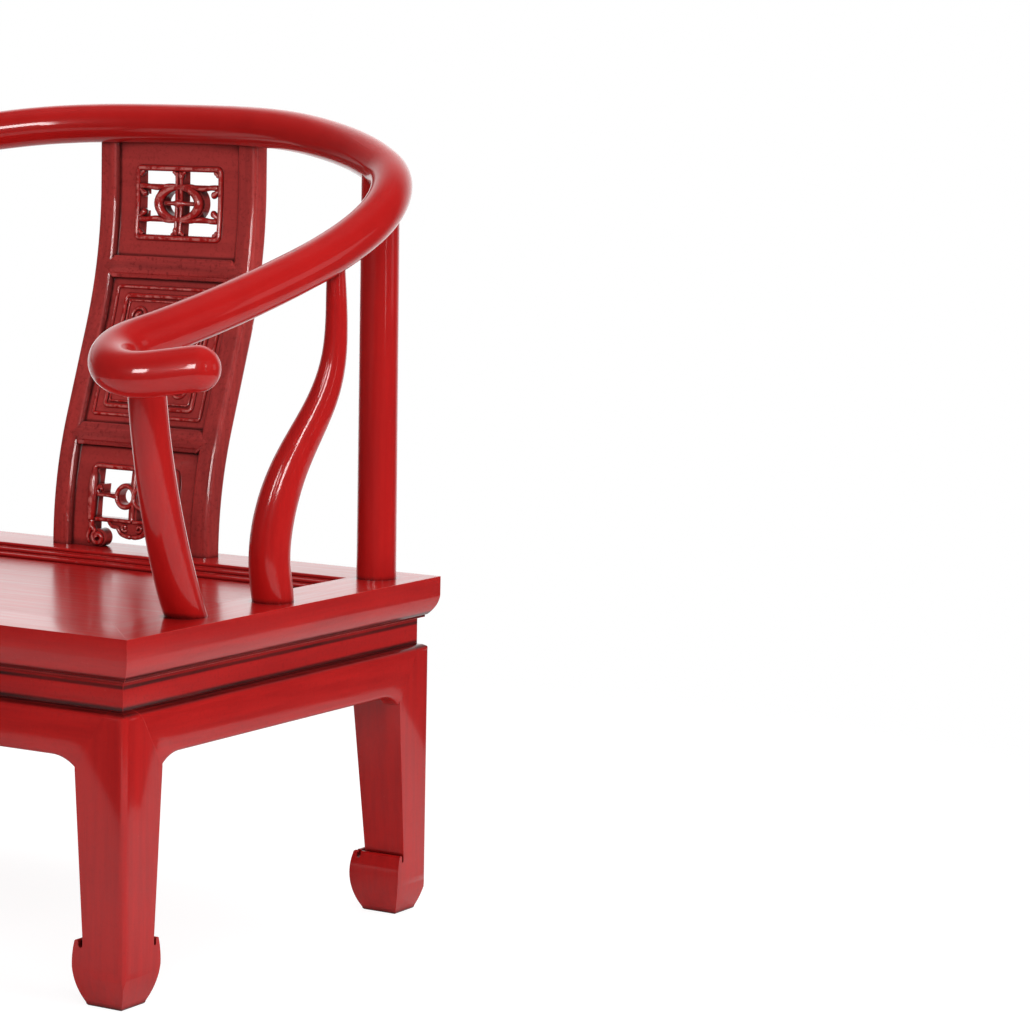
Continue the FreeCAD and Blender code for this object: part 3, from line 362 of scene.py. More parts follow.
def lacquer(name, grain, base="bright", shade="deep", wear=0.1, streak=0.5, corner_shade_and_lines=0.8, mottle=0.0, reach=1.0,
            crown=0.0, lines=(), blur=None):
    """Brushed lacquer: streaks along the grain, rubbed specks, and painted shade in the corners.

    mottle adds dark spots. reach widens the painted corner shade. crown paints pale rubbed wear and a
    highlight on what faces forward, and shade on what faces aside. lines holds thin dark lines, dark joints
    and painted shade along shaded edges: (level, half width, strength, axis) each. blur softens what the
    top coat reflects.
    """
    if name in bpy.data.materials:
        return bpy.data.materials[name]
    look = bpy.context.scene.lacquer_look
    material, pad = blank_material(name)
    place = pad.add("ShaderNodeTexCoord").outputs["Object"]

    # Streaks and clouds, rubbed specks and dark spots
    along = pad.add("ShaderNodeMapping", Vector=place, Scale=GRAIN[grain]).outputs[0]
    streaks = pad.noise("streaks", along)
    clouds = pad.noise("clouds", place)
    tone = pad.math("ADD", pad.band(streaks, 0.34, 0.66, -streak, 0.0),
                    pad.band(clouds, 0.35, 0.65, 0.72, 1.0), clamp=True)
    colour = pad.mix(tone, rgba(getattr(look, shade)), rgba(getattr(look, base)))
    specks = pad.noise("specks", place)
    rubbed = pad.math("MULTIPLY", pad.band(specks, 0.66, 0.76), wear)
    colour = pad.mix(rubbed, colour, rgba(look.wear_and_highlight_pink))
    if mottle:
        spots = pad.noise("spots", place)
        colour = pad.mix(pad.band(spots, 0.50, 0.68, 0.0, mottle), colour, rgba(look.shade_joint_and_spot_brown))

    # Painted shade in the corners and on the sides of the crowns, painted highlight and rubbed wear on the
    # crowns, and dark lines: joints, and painted shade along shaded edges
    # Painted shade: darker where the ambient occlusion finds a corner or crevice close by
    occlusion = pad.add("ShaderNodeAmbientOcclusion", {"samples": 8}, Distance=look.corner_shade_reach * reach)
    closed = occlusion.outputs["AO"]
    patchy = pad.band(streaks, 0.28, 0.6, corner_shade_and_lines, corner_shade_and_lines * 0.75)
    corner = pad.math("MULTIPLY", pad.band(closed, 0.42, 0.90, 1.0, 0.0), patchy)
    colour = pad.mix(corner, colour, rgba(look.shade_joint_and_spot_brown))
    if crown:
        normal = pad.add("ShaderNodeTexCoord").outputs["Normal"]
        facing = pad.add("ShaderNodeSeparateXYZ", Vector=normal).outputs["Y"]
        # Painted shade on the sides of the beads, which face aside
        colour = pad.mix(pad.band(facing, -0.72, -0.15, 0.0, 0.85), colour, rgba(look.shade_joint_and_spot_brown))
        # Pale crowns where they face forward: rubbed wear in patches and a painted highlight
        patches = pad.noise("crown patches", place)
        rubbed = pad.math("MULTIPLY", pad.band(facing, -0.97, -0.86, 1.0, 0.0), pad.band(patches, 0.40, 0.62))
        colour = pad.mix(pad.math("MULTIPLY", rubbed, crown), colour, rgba(look.crown_wear_and_highlight))
    if lines:
        axes = pad.add("ShaderNodeSeparateXYZ", Vector=place).outputs
        for level, half, strength, axis in lines:
            gap = pad.math("ABSOLUTE", pad.math("SUBTRACT", axes[axis], level))
            dark = pad.math("MULTIPLY", pad.band(gap, half * 0.3, half, strength, 0.0), patchy)
            colour = pad.mix(dark, colour, rgba(look.shade_joint_and_spot_brown))

    # Brush marks under the top coat
    relief = pad.math("ADD", streaks, pad.math("MULTIPLY", clouds, 0.6))
    bump = pad.add("ShaderNodeBump", Strength=0.8, Distance=look.brush_depth, Height=relief).outputs[0]
    rough = pad.band(streaks, 0.3, 0.7, look.roughness * 0.85, look.roughness * 1.2)
    shader = coated(pad, look, colour, rough, bump, blur)
    pad.tree.links.new(bump, shader.inputs["Coat Normal"])
    pad.add("ShaderNodeOutputMaterial", Surface=shader.outputs[0])
    return material


def worn_and_highlit_arris(name, base="bright", strength=0.6):
    """Lacquer on the arrises, pink in patches: rubbed through, and painted highlights along them."""
    if name in bpy.data.materials:
        return bpy.data.materials[name]
    look = bpy.context.scene.lacquer_look
    material, pad = blank_material(name)
    place = pad.add("ShaderNodeTexCoord").outputs["Object"]
    patches = pad.noise("arris patches", place)
    # Pink patches on the arrises: rubbed wear and painted highlights
    rubbed = pad.math("MULTIPLY", pad.band(patches, 0.44, 0.64), strength)
    colour = pad.mix(rubbed, rgba(getattr(look, base)), rgba(look.wear_and_highlight_pink))
    bump = pad.add("ShaderNodeBump", Strength=0.6, Distance=look.brush_depth, Height=patches).outputs[0]
    shader = coated(pad, look, colour, look.roughness, bump)
    pad.add("ShaderNodeOutputMaterial", Surface=shader.outputs[0])
    return material


def clean_copy(node):
    """The node's mesh with its loose triangles joined and its flat faces made whole."""
    source = frame["nodes"][node].data
    mesh = bpy.data.meshes.new(node + "_finish")
    mesh.from_pydata([v.co for v in source.vertices], [], [tuple(p.vertices) for p in source.polygons])
    work = bmesh.new()
    work.from_mesh(mesh)
    bmesh.ops.remove_doubles(work, verts=work.verts, dist=WELD)
    bmesh.ops.dissolve_limit(work, angle_limit=FLAT_ANGLE, verts=work.verts, edges=work.edges)
    work.to_mesh(mesh)
    work.free()
    return mesh


def finish_piece(piece, slot, *nodes):
    """Puts the piece on its body and hides the CAD nodes it stands for; slot is not used."""
    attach(piece, BODY)
    if nodes:
        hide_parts(*nodes)
    return piece


def contact_faces(mesh, node):
    """Numbers of the faces that lie against another piece."""
    touching = set()
    for polygon in mesh.polygons:
        for other, tree in NEIGHBOURS.items():
            if other == node:
                continue
            place, normal, _, _ = tree.find_nearest(polygon.center, SEAM_GAP)
            if place is not None and normal.dot(polygon.normal) < SQUARELY:
                touching.add(polygon.index)
                break
    return touching


def mark_arrises(mesh, node, width, arris, seam, full=None):
    """Gives each sharp edge its share of the bevel's width.

    Where two pieces meet that is seam, where full says so it is the whole width, and else it is arris.
    """
    touching = contact_faces(mesh, node)
    least = math.cos(bpy.context.scene.joinery_look.arris_angle)
    sides = {}
    for polygon in mesh.polygons:
        for key in polygon.edge_keys:
            sides.setdefault(key, []).append(polygon)
    shares = []
    for edge in mesh.edges:
        faces = sides.get(edge.key, [])
        if len(faces) != 2 or faces[0].normal.dot(faces[1].normal) > least:
            shares.append(0.0)
        elif faces[0].index in touching or faces[1].index in touching:
            shares.append(seam / width)
        elif full and full(mesh.vertices[edge.vertices[0]].co, mesh.vertices[edge.vertices[1]].co):
            shares.append(1.0)
        else:
            shares.append(arris / width)
    weights = mesh.attributes.new("bevel_weight_edge", "FLOAT", "EDGE")
    weights.data.foreach_set("value", shares)


def dressed(node, slot, surface, arris, width, segments=2, full_width=None, full=None):
    """A piece with the node's exact shape, its arrises rounded, rubbed and given painted highlights.

    width rounds the arrises, and full_width those that full chooses.
    """
    joinery = bpy.context.scene.joinery_look
    mesh = clean_copy(node)
    whole = full_width or width
    mark_arrises(mesh, node, whole, width, min(joinery.seam_arris, width), full)
    mesh.materials.append(surface)
    mesh.materials.append(arris)
    mesh.shade_smooth()
    mesh.set_sharp_from_angle(angle=joinery.arris_angle)
    piece = link(bpy.data.objects.new(node + "_finish", mesh))
    bevel = piece.modifiers.new("Arris", "BEVEL")
    bevel.width = whole
    bevel.segments = segments
    bevel.limit_method = "WEIGHT"
    bevel.material = 1
    bevel.harden_normals = True
    bevel.miter_outer = "MITER_ARC"
    return finish_piece(piece, slot, node)


def side_arris(leg):
    """Tells whether an edge is part of a leg's two long side arrises, which are rounded widest.

    These are the long edges in line with the outer corner in one direction and far from it in the other.
    """
    low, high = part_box(leg)
    corner = Vector([max(pair, key=abs) for pair in zip(low, high)])

    def chosen(a, b):
        middle = (a + b) / 2
        off = sorted((abs(middle.x - corner.x), abs(middle.y - corner.y)))
        return abs(a.z - b.z) > 35 * MM and off[0] < 1.5 * MM and off[1] > 30 * MM
    return chosen


def splat_front(height, panels=SPLAT_PANELS, x=0.070):
    """Where the front of the back's panels lies at a height, found beside the openings."""
    places = [NEIGHBOURS[panel].ray_cast(Vector((x, -1, height)), Vector((0, 1, 0)))[0] for panel in panels]
    return min(place.y for place in places if place is not None)


def bead_tree(surface):
    """Geometry Nodes that turn each line into a round bead as wide as the line's radius."""
    name = "carved bead"
    if name in bpy.data.node_groups:
        return bpy.data.node_groups[name]
    tree = bpy.data.node_groups.new(name, "GeometryNodeTree")
    tree.interface.new_socket("Lines", in_out="INPUT", socket_type="NodeSocketGeometry")
    sides = tree.interface.new_socket("Sides", in_out="INPUT", socket_type="NodeSocketInt")
    sides.default_value = BEAD_SIDES
    finish = tree.interface.new_socket("Lacquer", in_out="INPUT", socket_type="NodeSocketMaterial")
    finish.default_value = surface
    tree.interface.new_socket("Beads", in_out="OUTPUT", socket_type="NodeSocketGeometry")
    pad = NodePad(tree)
    given = pad.add("NodeGroupInput")
    section = pad.add("GeometryNodeCurvePrimitiveCircle", Resolution=given.outputs["Sides"], Radius=1.0)
    radius = pad.add("GeometryNodeInputRadius")
    beads = pad.add("GeometryNodeCurveToMesh", Curve=given.outputs["Lines"], Profile_Curve=section.outputs[0],
                    Scale=radius.outputs[0], Fill_Caps=True)
    smooth = pad.add("GeometryNodeSetShadeSmooth", Geometry=beads.outputs[0])
    whole = pad.add("GeometryNodeRealizeInstances", Geometry=smooth.outputs[0])
    painted = pad.add("GeometryNodeSetMaterial", Geometry=whole.outputs[0], Material=given.outputs["Lacquer"])
    pad.add("NodeGroupOutput", Beads=painted.outputs[0])
    return tree


def socket_key(tree, name):
    """The key of a node group's input on the modifier."""
    return next(item.identifier for item in tree.interface.items_tree
                if item.item_type == "SOCKET" and item.in_out == "INPUT" and item.name == name)


def carved_beads(name, lines, surface, sink=0.12):
    """One mesh of beads on the back's front. A line is (closed, [(x, height, half width), ...]) in metres."""
    curve = bpy.data.curves.new(name + "_lines", "CURVE")
    curve.dimensions = "3D"
    for closed, points in lines:
        spline = curve.splines.new("POLY")
        spline.points.add(len(points) - 1)
        spline.use_cyclic_u = closed
        for point, (x, height, half) in zip(spline.points, points):
            point.co = (x, splat_front(height) + sink * half, height, 1)
            point.radius = half
    source = link(bpy.data.objects.new(name + "_source", curve))
    tree = bead_tree(surface)
    modifier = source.modifiers.new("Beads", "NODES")
    modifier.node_group = tree
    modifier[socket_key(tree, "Sides")] = bpy.context.scene.carving.bead_sides
    modifier[socket_key(tree, "Lacquer")] = surface
    shown = source.evaluated_get(bpy.context.evaluated_depsgraph_get())
    mesh = bpy.data.meshes.new_from_object(shown)
    bpy.data.objects.remove(source)
    work = bmesh.new()
    work.from_mesh(mesh)
    bmesh.ops.remove_doubles(work, verts=work.verts, dist=0.002 * MM)
    bmesh.ops.recalc_face_normals(work, faces=work.faces)
    work.to_mesh(mesh)
    work.free()
    if not mesh.materials:
        mesh.materials.append(surface)
    return finish_piece(link(bpy.data.objects.new(name, mesh)), "splat_lacquer")


def flowing(points, step=0.0012):
    """A smooth line through the points, with tapered ends: (x, height, half width) each."""
    ends = [points[0]] + list(points) + [points[-1]]
    line = []
    for i in range(1, len(ends) - 2):
        a, b, c, d = (Vector(p) for p in ends[i - 1:i + 3])
        count = max(2, int((Vector(b[:2]) - Vector(c[:2])).length / step))
        for k in range(count):
            u = k / count
            line.append(0.5 * (2 * b + (c - a) * u + (2 * a - 5 * b + 4 * c - d) * u * u
                               + (3 * b - a - 3 * c + d) * u * u * u))
    line.append(Vector(ends[-1]))
    reach = min(3, len(line) // 3)
    for i in range(reach):
        share = math.sqrt(1 - (1 - (i + 0.3) / reach) ** 2)
        for end in (i, len(line) - 1 - i):
            line[end] = Vector((line[end].x, line[end].y, line[end].z * share))
    return (False, [tuple(point) for point in line])


def boxed(x0, x1, z0, z1, half, corner=0.004, steps=5, stride=0.006):
    """A closed rectangle with round corners."""
    line = []
    for cx, cz, turn in ((x1 - corner, z1 - corner, 0), (x0 + corner, z1 - corner, 90),
                         (x0 + corner, z0 + corner, 180), (x1 - corner, z0 + corner, 270)):
        for i in range(steps + 1):
            angle = math.radians(turn + 90 * i / steps)
            line.append((cx + corner * math.cos(angle), cz + corner * math.sin(angle), half))
    dense = []
    for a, b in zip(line, line[1:] + line[:1]):
        count = max(1, int(math.dist(a[:2], b[:2]) / stride))
        dense += [tuple(a[k] + (b[k] - a[k]) * i / count for k in range(3)) for i in range(count)]
    return (True, dense)


def ringed(x, z, across, high, half, side_half=None, count=40):
    """A closed oval; side_half widens it at its left and right."""
    side_half = side_half or half
    line = []
    for i in range(count):
        angle = math.tau * i / count
        wide = abs(math.cos(angle)) ** 1.5
        line.append((x + across * math.cos(angle), z + high * math.sin(angle),
                     half + (side_half - half) * wide))
    return (True, line)


def curl(x, z, radius, turns, start, half, inner_share=0.2, tail=()):
    """A spiral that winds in from an angle in degrees; tail points lead into its outer end."""
    line = list(tail)
    steps = 6 + int(abs(turns) * 12)
    for i in range(steps + 1):
        share = i / steps
        reach = radius * (1 - (1 - inner_share) * share)
        angle = math.radians(start) + math.tau * turns * share
        line.append((x + reach * math.cos(angle), z + reach * math.sin(angle), half * (1 + 0.5 * share)))
    return flowing(line)


def placed(z, points, side=1, level=1):
    """Points given from a height, turned to the right or left side and up or down."""
    return [(side * x, z + level * up, half) for x, up, half in points]


def mirrored(points):
    """The whole of a line that is the same to both sides, from its points from the middle out."""
    return [(-x, z, half) for x, z, half in reversed(points[1:])] + points


def both(lines):
    """The lines and their mirror images."""
    return list(lines) + [(closed, [(-x, z, half) for x, z, half in points]) for closed, points in lines]


class ARMCHAIR_OT_crest_rail(bpy.types.Operator):
    """Make the five sections of the crest rail and the pins of their scarfs"""
    bl_idname = "armchair.crest_rail"
    bl_label = "Crest Rail"
    bl_options = {"REGISTER", "UNDO"}

    def execute(self, context):
        surface = lacquer("rail lacquer", "round", wear=0.05, streak=0.2)
        arris = worn_and_highlit_arris("rail arris", strength=0.3)
        seam = context.scene.joinery_look.seam_arris
        dressed("crest_middle", "red_lacquer", surface, arris, seam)
        for side in SIDES:
            dressed("crest_shoulder_" + side, "red_lacquer", surface, arris, seam)
            dressed("crest_arm_" + side, "red_lacquer", surface, arris, seam)
        dressed("scarf_pins", "pin_wood", lacquer("pin lacquer", "z", "deep", "dull"), arris, seam)
        return {"FINISHED"}


class ARMCHAIR_OT_posts(bpy.types.Operator):
    """Make the posts that carry the crest rail"""
    bl_idname = "armchair.posts"
    bl_label = "Posts"
    bl_options = {"REGISTER", "UNDO"}

    def execute(self, context):
        surface = lacquer("post lacquer", "z", wear=0.06, streak=0.3)
        arris = worn_and_highlit_arris("rail arris", strength=0.3)
        for side in SIDES:
            for post in ("back_post_", "side_post_", "front_post_"):
                dressed(post + side, "red_lacquer", surface, arris, context.scene.joinery_look.seam_arris)
        return {"FINISHED"}


class ARMCHAIR_OT_splat(bpy.types.Operator):
    """Make the stiles, cross rails and panels of the back"""
    bl_idname = "armchair.splat"
    bl_label = "Splat"
    bl_options = {"REGISTER", "UNDO"}

    def execute(self, context):
        joinery = context.scene.joinery_look
        carving = context.scene.carving
        edge = min(abs(end[0]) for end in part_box("splat_stile_right"))
        edge_lines = tuple((side * edge, *JOINT_AND_SHADE_LINES["stile"], "X") for side in (-1, 1))
        rails = []
        for rail in CROSS_RAILS:
            low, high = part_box(rail)
            middle = (low[2] + high[2]) / 2
            rails += [(middle + side * carving.rail_height / 2, *JOINT_AND_SHADE_LINES["cross rail"], "Z")
                      for side in (-1, 1)]
        stile = lacquer("stile lacquer", "z", "aged", "dull", wear=0.15, streak=0.55, mottle=0.3, lines=edge_lines)
        across = lacquer("cross rail lacquer", "x", "aged", "dull", wear=0.12, streak=0.8, mottle=0.45,
                         reach=1.5)
        panel = lacquer("carved panel lacquer", "x", "aged", "dull", wear=0.16, streak=0.25, corner_shade_and_lines=0.95,
                        mottle=0.22, reach=1.8, lines=edge_lines + tuple(rails))
        # The beads' crowns get rubbed wear and a painted highlight, their sides painted shade
        beads = lacquer("carved bead lacquer", "round", "bright", "dull", wear=0.3, corner_shade_and_lines=1.0, mottle=0.3,
                        reach=0.6, crown=0.75)
        arris = worn_and_highlit_arris("splat arris", base="aged", strength=0.65)
        for side in SIDES:
            dressed("splat_stile_" + side, "splat_lacquer", stile, arris, joinery.splat_arris)
        for node in CROSS_RAILS:
            self.cross_rail(node, across, carving)
        for node in SPLAT_PANELS:
            dressed(node, "splat_lacquer", panel, arris, joinery.splat_arris)
        carved_beads("top_window_beads", self.window(carving), beads)
        carved_beads("middle_field_beads", self.field(carving), beads)
        carved_beads("lower_arch_beads", self.arch(carving), beads)
        return {"FINISHED"}

    def cross_rail(self, node, surface, carving):
        """A ridged rail whose pointed ends run on to the stiles."""
        low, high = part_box(node)
        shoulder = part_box("splat_stile_right")[0][0]
        middle = (low[2] + high[2]) / 2
        half = carving.rail_height / 2
        # The stile's front is found a little outside the shoulder, and the rail lies three quarters as
        # deep behind it as its node is.
        stile_front = splat_front(middle, ("splat_stile_right",), shoulder + (high[0] - low[0]) * 0.07)
        back = stile_front + (high[1] - low[1]) * 0.75
        proud = splat_front(middle, (node,), 0) - 1.5 * MM
        above = splat_front(middle + half, (node, *SPLAT_PANELS))
        lean = above - splat_front(middle - half, (node, *SPLAT_PANELS))
        # Along the rail: place, share of the height, share of the moulding's depth, and the ridge's front.
        runs = ((0.0, 1.0, 1.0, proud), (shoulder - 6 * MM, 1.0, 1.0, proud),
                (shoulder - 1 * MM, 1.0, 0.5, stile_front - 1.3 * MM),
                (shoulder + carving.rail_beak, 0.04, 0.3, stile_front - 0.7 * MM))
        # The moulding: share of the half height, and how far it lies behind the ridge.
        section = ((-1.0, 4.4 * MM), (-0.92, 2.6 * MM), (-0.62, 1.9 * MM), (-0.52, 0.9 * MM),
                   (-0.1, 0.1 * MM), (0.1, 0.0), (0.45, 0.5 * MM), (0.62, 1.6 * MM), (0.92, 2.6 * MM),
                   (1.0, 4.4 * MM))
        places = [(-x, share, deep, front) for x, share, deep, front in reversed(runs[1:])] + list(runs)
        work = bmesh.new()
        rings = []
        for x, share, deep, front in places:
            ring = []
            for up, depth in section:
                ring.append(work.verts.new((x, front + depth * deep + lean * up * share / 2,
                                            middle + up * half * share)))
            ring.append(work.verts.new((x, back, middle + half * share)))
            ring.append(work.verts.new((x, back, middle - half * share)))
            rings.append(ring)
        for first, second in zip(rings, rings[1:]):
            for i in range(len(first)):
                j = (i + 1) % len(first)
                work.faces.new((first[i], first[j], second[j], second[i]))
        work.faces.new(rings[0])
        work.faces.new(reversed(rings[-1]))
        bmesh.ops.recalc_face_normals(work, faces=work.faces)
        mesh = bpy.data.meshes.new(node + "_finish")
        work.to_mesh(mesh)
        work.free()
        mesh.materials.append(surface)
        mesh.shade_smooth()
        mesh.set_sharp_from_angle(angle=RIDGE_ANGLE)
        finish_piece(link(bpy.data.objects.new(node + "_finish", mesh)), "splat_lacquer", node)

    def window(self, carving):
        """The top window: its frame bead, split bar, linked crescents, crossbar and buds."""
        half_w = carving.window_width / 2
        half_h = carving.window_height / 2
        bead = carving.frame_bead / 2
        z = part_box("crest_middle")[1][2] - carving.crest_diameter - carving.window_below_crest - half_h
        lines = [boxed(-half_w - bead, half_w + bead, z - half_h - bead, z + half_h + bead, bead),
                 ringed(0, z, 0.0262, 0.0168, 0.0030, 0.0062)]
        bar = [(0.0027, half_h, 0.0027), (0.0027, 0.014, 0.0026), (0.0027, -0.014, 0.0026),
               (0.0027, -half_h, 0.0027)]
        bar_bud = [(0, half_h + 0.001, 0.0012), (0.003, half_h - 0.005, 0.0038), (0, half_h - 0.010, 0.0012)]
        linked = [(0, 0.0004, 0.0030), (0.014, 0.0010, 0.0028), (0.029, -0.0012, 0.0028),
                  (0.042, 0.0004, 0.0030), (0.0515, 0, 0.0036)]
        frame_bud = [(0.0520, 0.0155, 0.0026), (0.0490, 0.0125, 0.0030), (0.0445, 0.0095, 0.0040),
                     (0.0420, 0.0085, 0.0034)]
        for side in (-1, 1):
            lines.append(flowing(placed(z, bar, side)))
            lines.append(flowing(placed(z, bar_bud, side, side)))
            lines.append(flowing(mirrored(placed(z + side * 0.0172, linked, level=side))))
            for level in (-1, 1):
                for corner, turn, half in ((half_w, 0.0055, 0.0026), (0.0045, -0.0042, 0.0022)):
                    rounded = [(corner - turn, -0.0004, half),
                               (corner - turn * 0.28, -abs(turn) * 0.28, half), (corner, -abs(turn), half)]
                    lines.append(flowing(placed(half_h * level + z, rounded, side, level)))
                lines.append(flowing(placed(z, frame_bud, side, level)))
        crossbar = [(0, 0, 0.0052), (0.005, 0, 0.0034), (0.011, 0, 0.0015), (0.020, 0, 0.0014)]
        lines.append(flowing(mirrored(placed(z, crossbar))))
        return lines

    def field(self, carving):
        """The middle panel: two raised borders round a field of scrolls."""
        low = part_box("splat_low_rail")[1][2]
        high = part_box("splat_high_rail")[0][2]
        bead = carving.field_bead / 2
        scroll = carving.scroll_bead / 2
        lines = [boxed(-0.0695, 0.0695, low + 0.0115, high - 0.0115, bead * 0.9, 0.003),
                 boxed(-0.0565, 0.0565, low + 0.0205, high - 0.0205, bead * 1.15, 0.004),
                 boxed(-0.0515, 0.0515, low + 0.0255, high - 0.0255, bead * 0.6, 0.003)]
        z = (low + high) / 2
        reach = (high - low) / 2 - 0.030
        # The curls: place, height, radius, turns, first angle, half width, and the line that leads in.
        curls = ((0.035, reach - 0.012, 0.0115, 1.6, -90, scroll,
                  [(0.004, reach - 0.030, scroll), (0.020, reach - 0.026, scroll)]),
                 (0.013, reach - 0.010, 0.0080, -1.5, -60, scroll * 0.9, [(0.030, reach - 0.032, scroll)]),
                 (0.040, 0.013, 0.0085, -1.5, 100, scroll * 0.9,
                  [(0.018, 0.004, scroll), (0.026, 0.018, scroll)]))
        leaf = [(0.047, reach - 0.028, scroll * 0.6), (0.042, reach - 0.034, scroll * 1.5),
                (0.030, reach - 0.034, scroll * 0.5)]
        one_side = []
        for level in (-1, 1):
            for x, up, radius, turns, start, half, tail in curls:
                one_side.append(curl(x, z + level * up, radius, turns * level, start * level, half,
                                     tail=placed(z, tail, level=level)))
            one_side.append(flowing(placed(z, leaf, level=level)))
        lines += both(one_side)
        lines.append(ringed(0, z, 0.0135, 0.0135, scroll, scroll * 1.4, 28))
        lines.append(ringed(0, z, 0.0060, 0.0060, scroll, scroll, 20))
        stem = [(0, 0.014, scroll), (0, reach - 0.030, scroll * 1.6), (0, reach - 0.018, scroll * 0.6)]
        for level in (-1, 1):
            lines.append(flowing(placed(z, stem, level=level)))
        return lines

    def arch(self, carving):
        """The lower opening: its border, centre bar, rings, hooks, cloud pendant and foot scrolls."""
        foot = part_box("seat_rail_back")[1][2]
        half_w = carving.arch_width / 2
        top = foot + carving.arch_height
        bar = foot + 0.029
        ring = foot + 0.055
        # The border: broad at the sides, slim along the top. Then the centre bar.
        broad = 0.0058
        side = half_w + broad * 0.8
        slim = 0.0030
        lines = [flowing(mirrored([(0, top + slim, slim), (0.030, top + slim, slim),
                                   (side - 0.003, top + slim, slim), (side, top - 0.002, broad * 0.7),
                                   (side, top - 0.012, broad), (side, foot + 0.040, broad),
                                   (side, foot + 0.026, broad * 0.7)])),
                 flowing([(0, top, 0.0026), (0, ring + 0.020, 0.0026), (0, bar + 0.010, 0.0026),
                          (0, bar, 0.0034)])]
        # One side: ring, its link, the hook, the bar, the cloud and its curl, the foot's scroll and leaf.
        one_side = [ringed(0.011, ring, 0.0112, 0.0112, 0.0024, 0.0028, 28),
                    flowing([(0.022, ring - 0.002, 0.0020), (0.034, ring - 0.0005, 0.0018),
                             (0.049, ring, 0.0024)]),
                    curl(0.0445, ring + 0.0055, 0.0040, 0.8, -80, 0.0024,
                         tail=((0.0525, ring + 0.001, 0.0024),)),
                    flowing([(0.0, bar, 0.0024), (0.020, bar + 0.0004, 0.0022), (0.049, bar, 0.0024)]),
                    flowing([(0.030, bar - 0.001, 0.0018), (0.026, bar - 0.006, 0.0024),
                             (0.019, bar - 0.007, 0.0026), (0.014, bar - 0.013, 0.0026),
                             (0.007, bar - 0.0155, 0.0026), (0.0, bar - 0.016, 0.0028)]),
                    curl(0.0095, bar - 0.0065, 0.0042, 1.1, 200, 0.0017),
                    curl(0.0440, foot + 0.0095, 0.0078, -1.3, 60, 0.0026,
                         tail=((0.0560, foot + 0.026, 0.0022), (0.0520, foot + 0.020, 0.0036))),
                    flowing([(0.0555, foot + 0.034, 0.0016), (0.0525, foot + 0.026, 0.0036),
                             (0.0545, foot + 0.018, 0.0030), (0.0575, foot + 0.010, 0.0022),
                             (0.0550, foot + 0.003, 0.0020)])]
        return lines + both(one_side)


class ARMCHAIR_OT_seat(bpy.types.Operator):
    """Make the mitred seat frame, its floating panel and the battens below"""
    bl_idname = "armchair.seat"
    bl_label = "Seat"
    bl_options = {"REGISTER", "UNDO"}

    def execute(self, context):
        joinery = context.scene.joinery_look
        arris = worn_and_highlit_arris("frame arris", strength=0.45)
        roll_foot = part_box("waist_front")[0][2] + WAIST_HEIGHT
        # The roll foot line is painted shade under the frame's roll.
        lines = ((roll_foot + 0.0030, *JOINT_AND_SHADE_LINES["roll foot"], "Z"),)
        # The lines along the inner edge of the frame's flat are painted shade, with a painted reflection of
        # the dark step.
        edge = min(abs(end[0]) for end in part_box("seat_rail_right")) + joinery.inner_step
        edge_lines = tuple((side * edge, *JOINT_AND_SHADE_LINES["seat panel"], "X") for side in (-1, 1))
        for side, grain in RUNS:
            surface = lacquer("frame lacquer along " + grain, grain, wear=0.08, corner_shade_and_lines=1.0, mottle=0.1,
                              lines=lines + (edge_lines if grain == "y" else ()), blur=0.16)
            dressed("seat_rail_" + side, "red_lacquer", surface, arris, joinery.frame_arris, segments=3)
        surface = lacquer("seat panel lacquer", "x", wear=0.08, corner_shade_and_lines=1.0, lines=edge_lines, blur=0.20)
        dressed("seat_panel", "red_lacquer", surface, arris, joinery.frame_arris)
        for side in SIDES:
            surface = lacquer("batten lacquer", "y", "deep", "dull")
            dressed("batten_" + side, "under_wood", surface, arris, joinery.frame_arris)
        return {"FINISHED"}


class ARMCHAIR_OT_base(bpy.types.Operator):
    """Make the waist, the aprons and the legs"""
    bl_idname = "armchair.base"
    bl_label = "Base"
    bl_options = {"REGISTER", "UNDO"}

    def execute(self, context):
        joinery = context.scene.joinery_look
        arris = worn_and_highlit_arris("leg arris", strength=0.15)
        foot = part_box("waist_front")[0][2]
        waist_lines = ((foot + 0.0215, *JOINT_AND_SHADE_LINES["waist top"], "Z"),
                       (foot + 0.0010, *JOINT_AND_SHADE_LINES["waist foot"], "Z"))
        apron_lines = ((foot - 0.0005, *JOINT_AND_SHADE_LINES["waist foot"], "Z"),)
        for side, grain in RUNS:
            surface = lacquer("waist lacquer along " + grain, grain, corner_shade_and_lines=1.0, mottle=0.2, lines=waist_lines)
            dressed("waist_" + side, "red_lacquer", surface, arris, joinery.seam_arris)
            surface = lacquer("apron lacquer along " + grain, grain, corner_shade_and_lines=1.0, mottle=0.12,
                              lines=apron_lines)
            dressed("apron_" + side, "red_lacquer", surface, arris, joinery.leg_arris)
        surface = lacquer("leg lacquer", "z", wear=0.10, corner_shade_and_lines=1.0, mottle=0.08, lines=apron_lines)
        for end in ("front", "back"):
            for side in SIDES:
                leg = "leg_%s_%s" % (end, side)
                dressed(leg, "red_lacquer", surface, arris, joinery.leg_arris, 3, joinery.side_arris,
                        side_arris(leg))
        return {"FINISHED"}


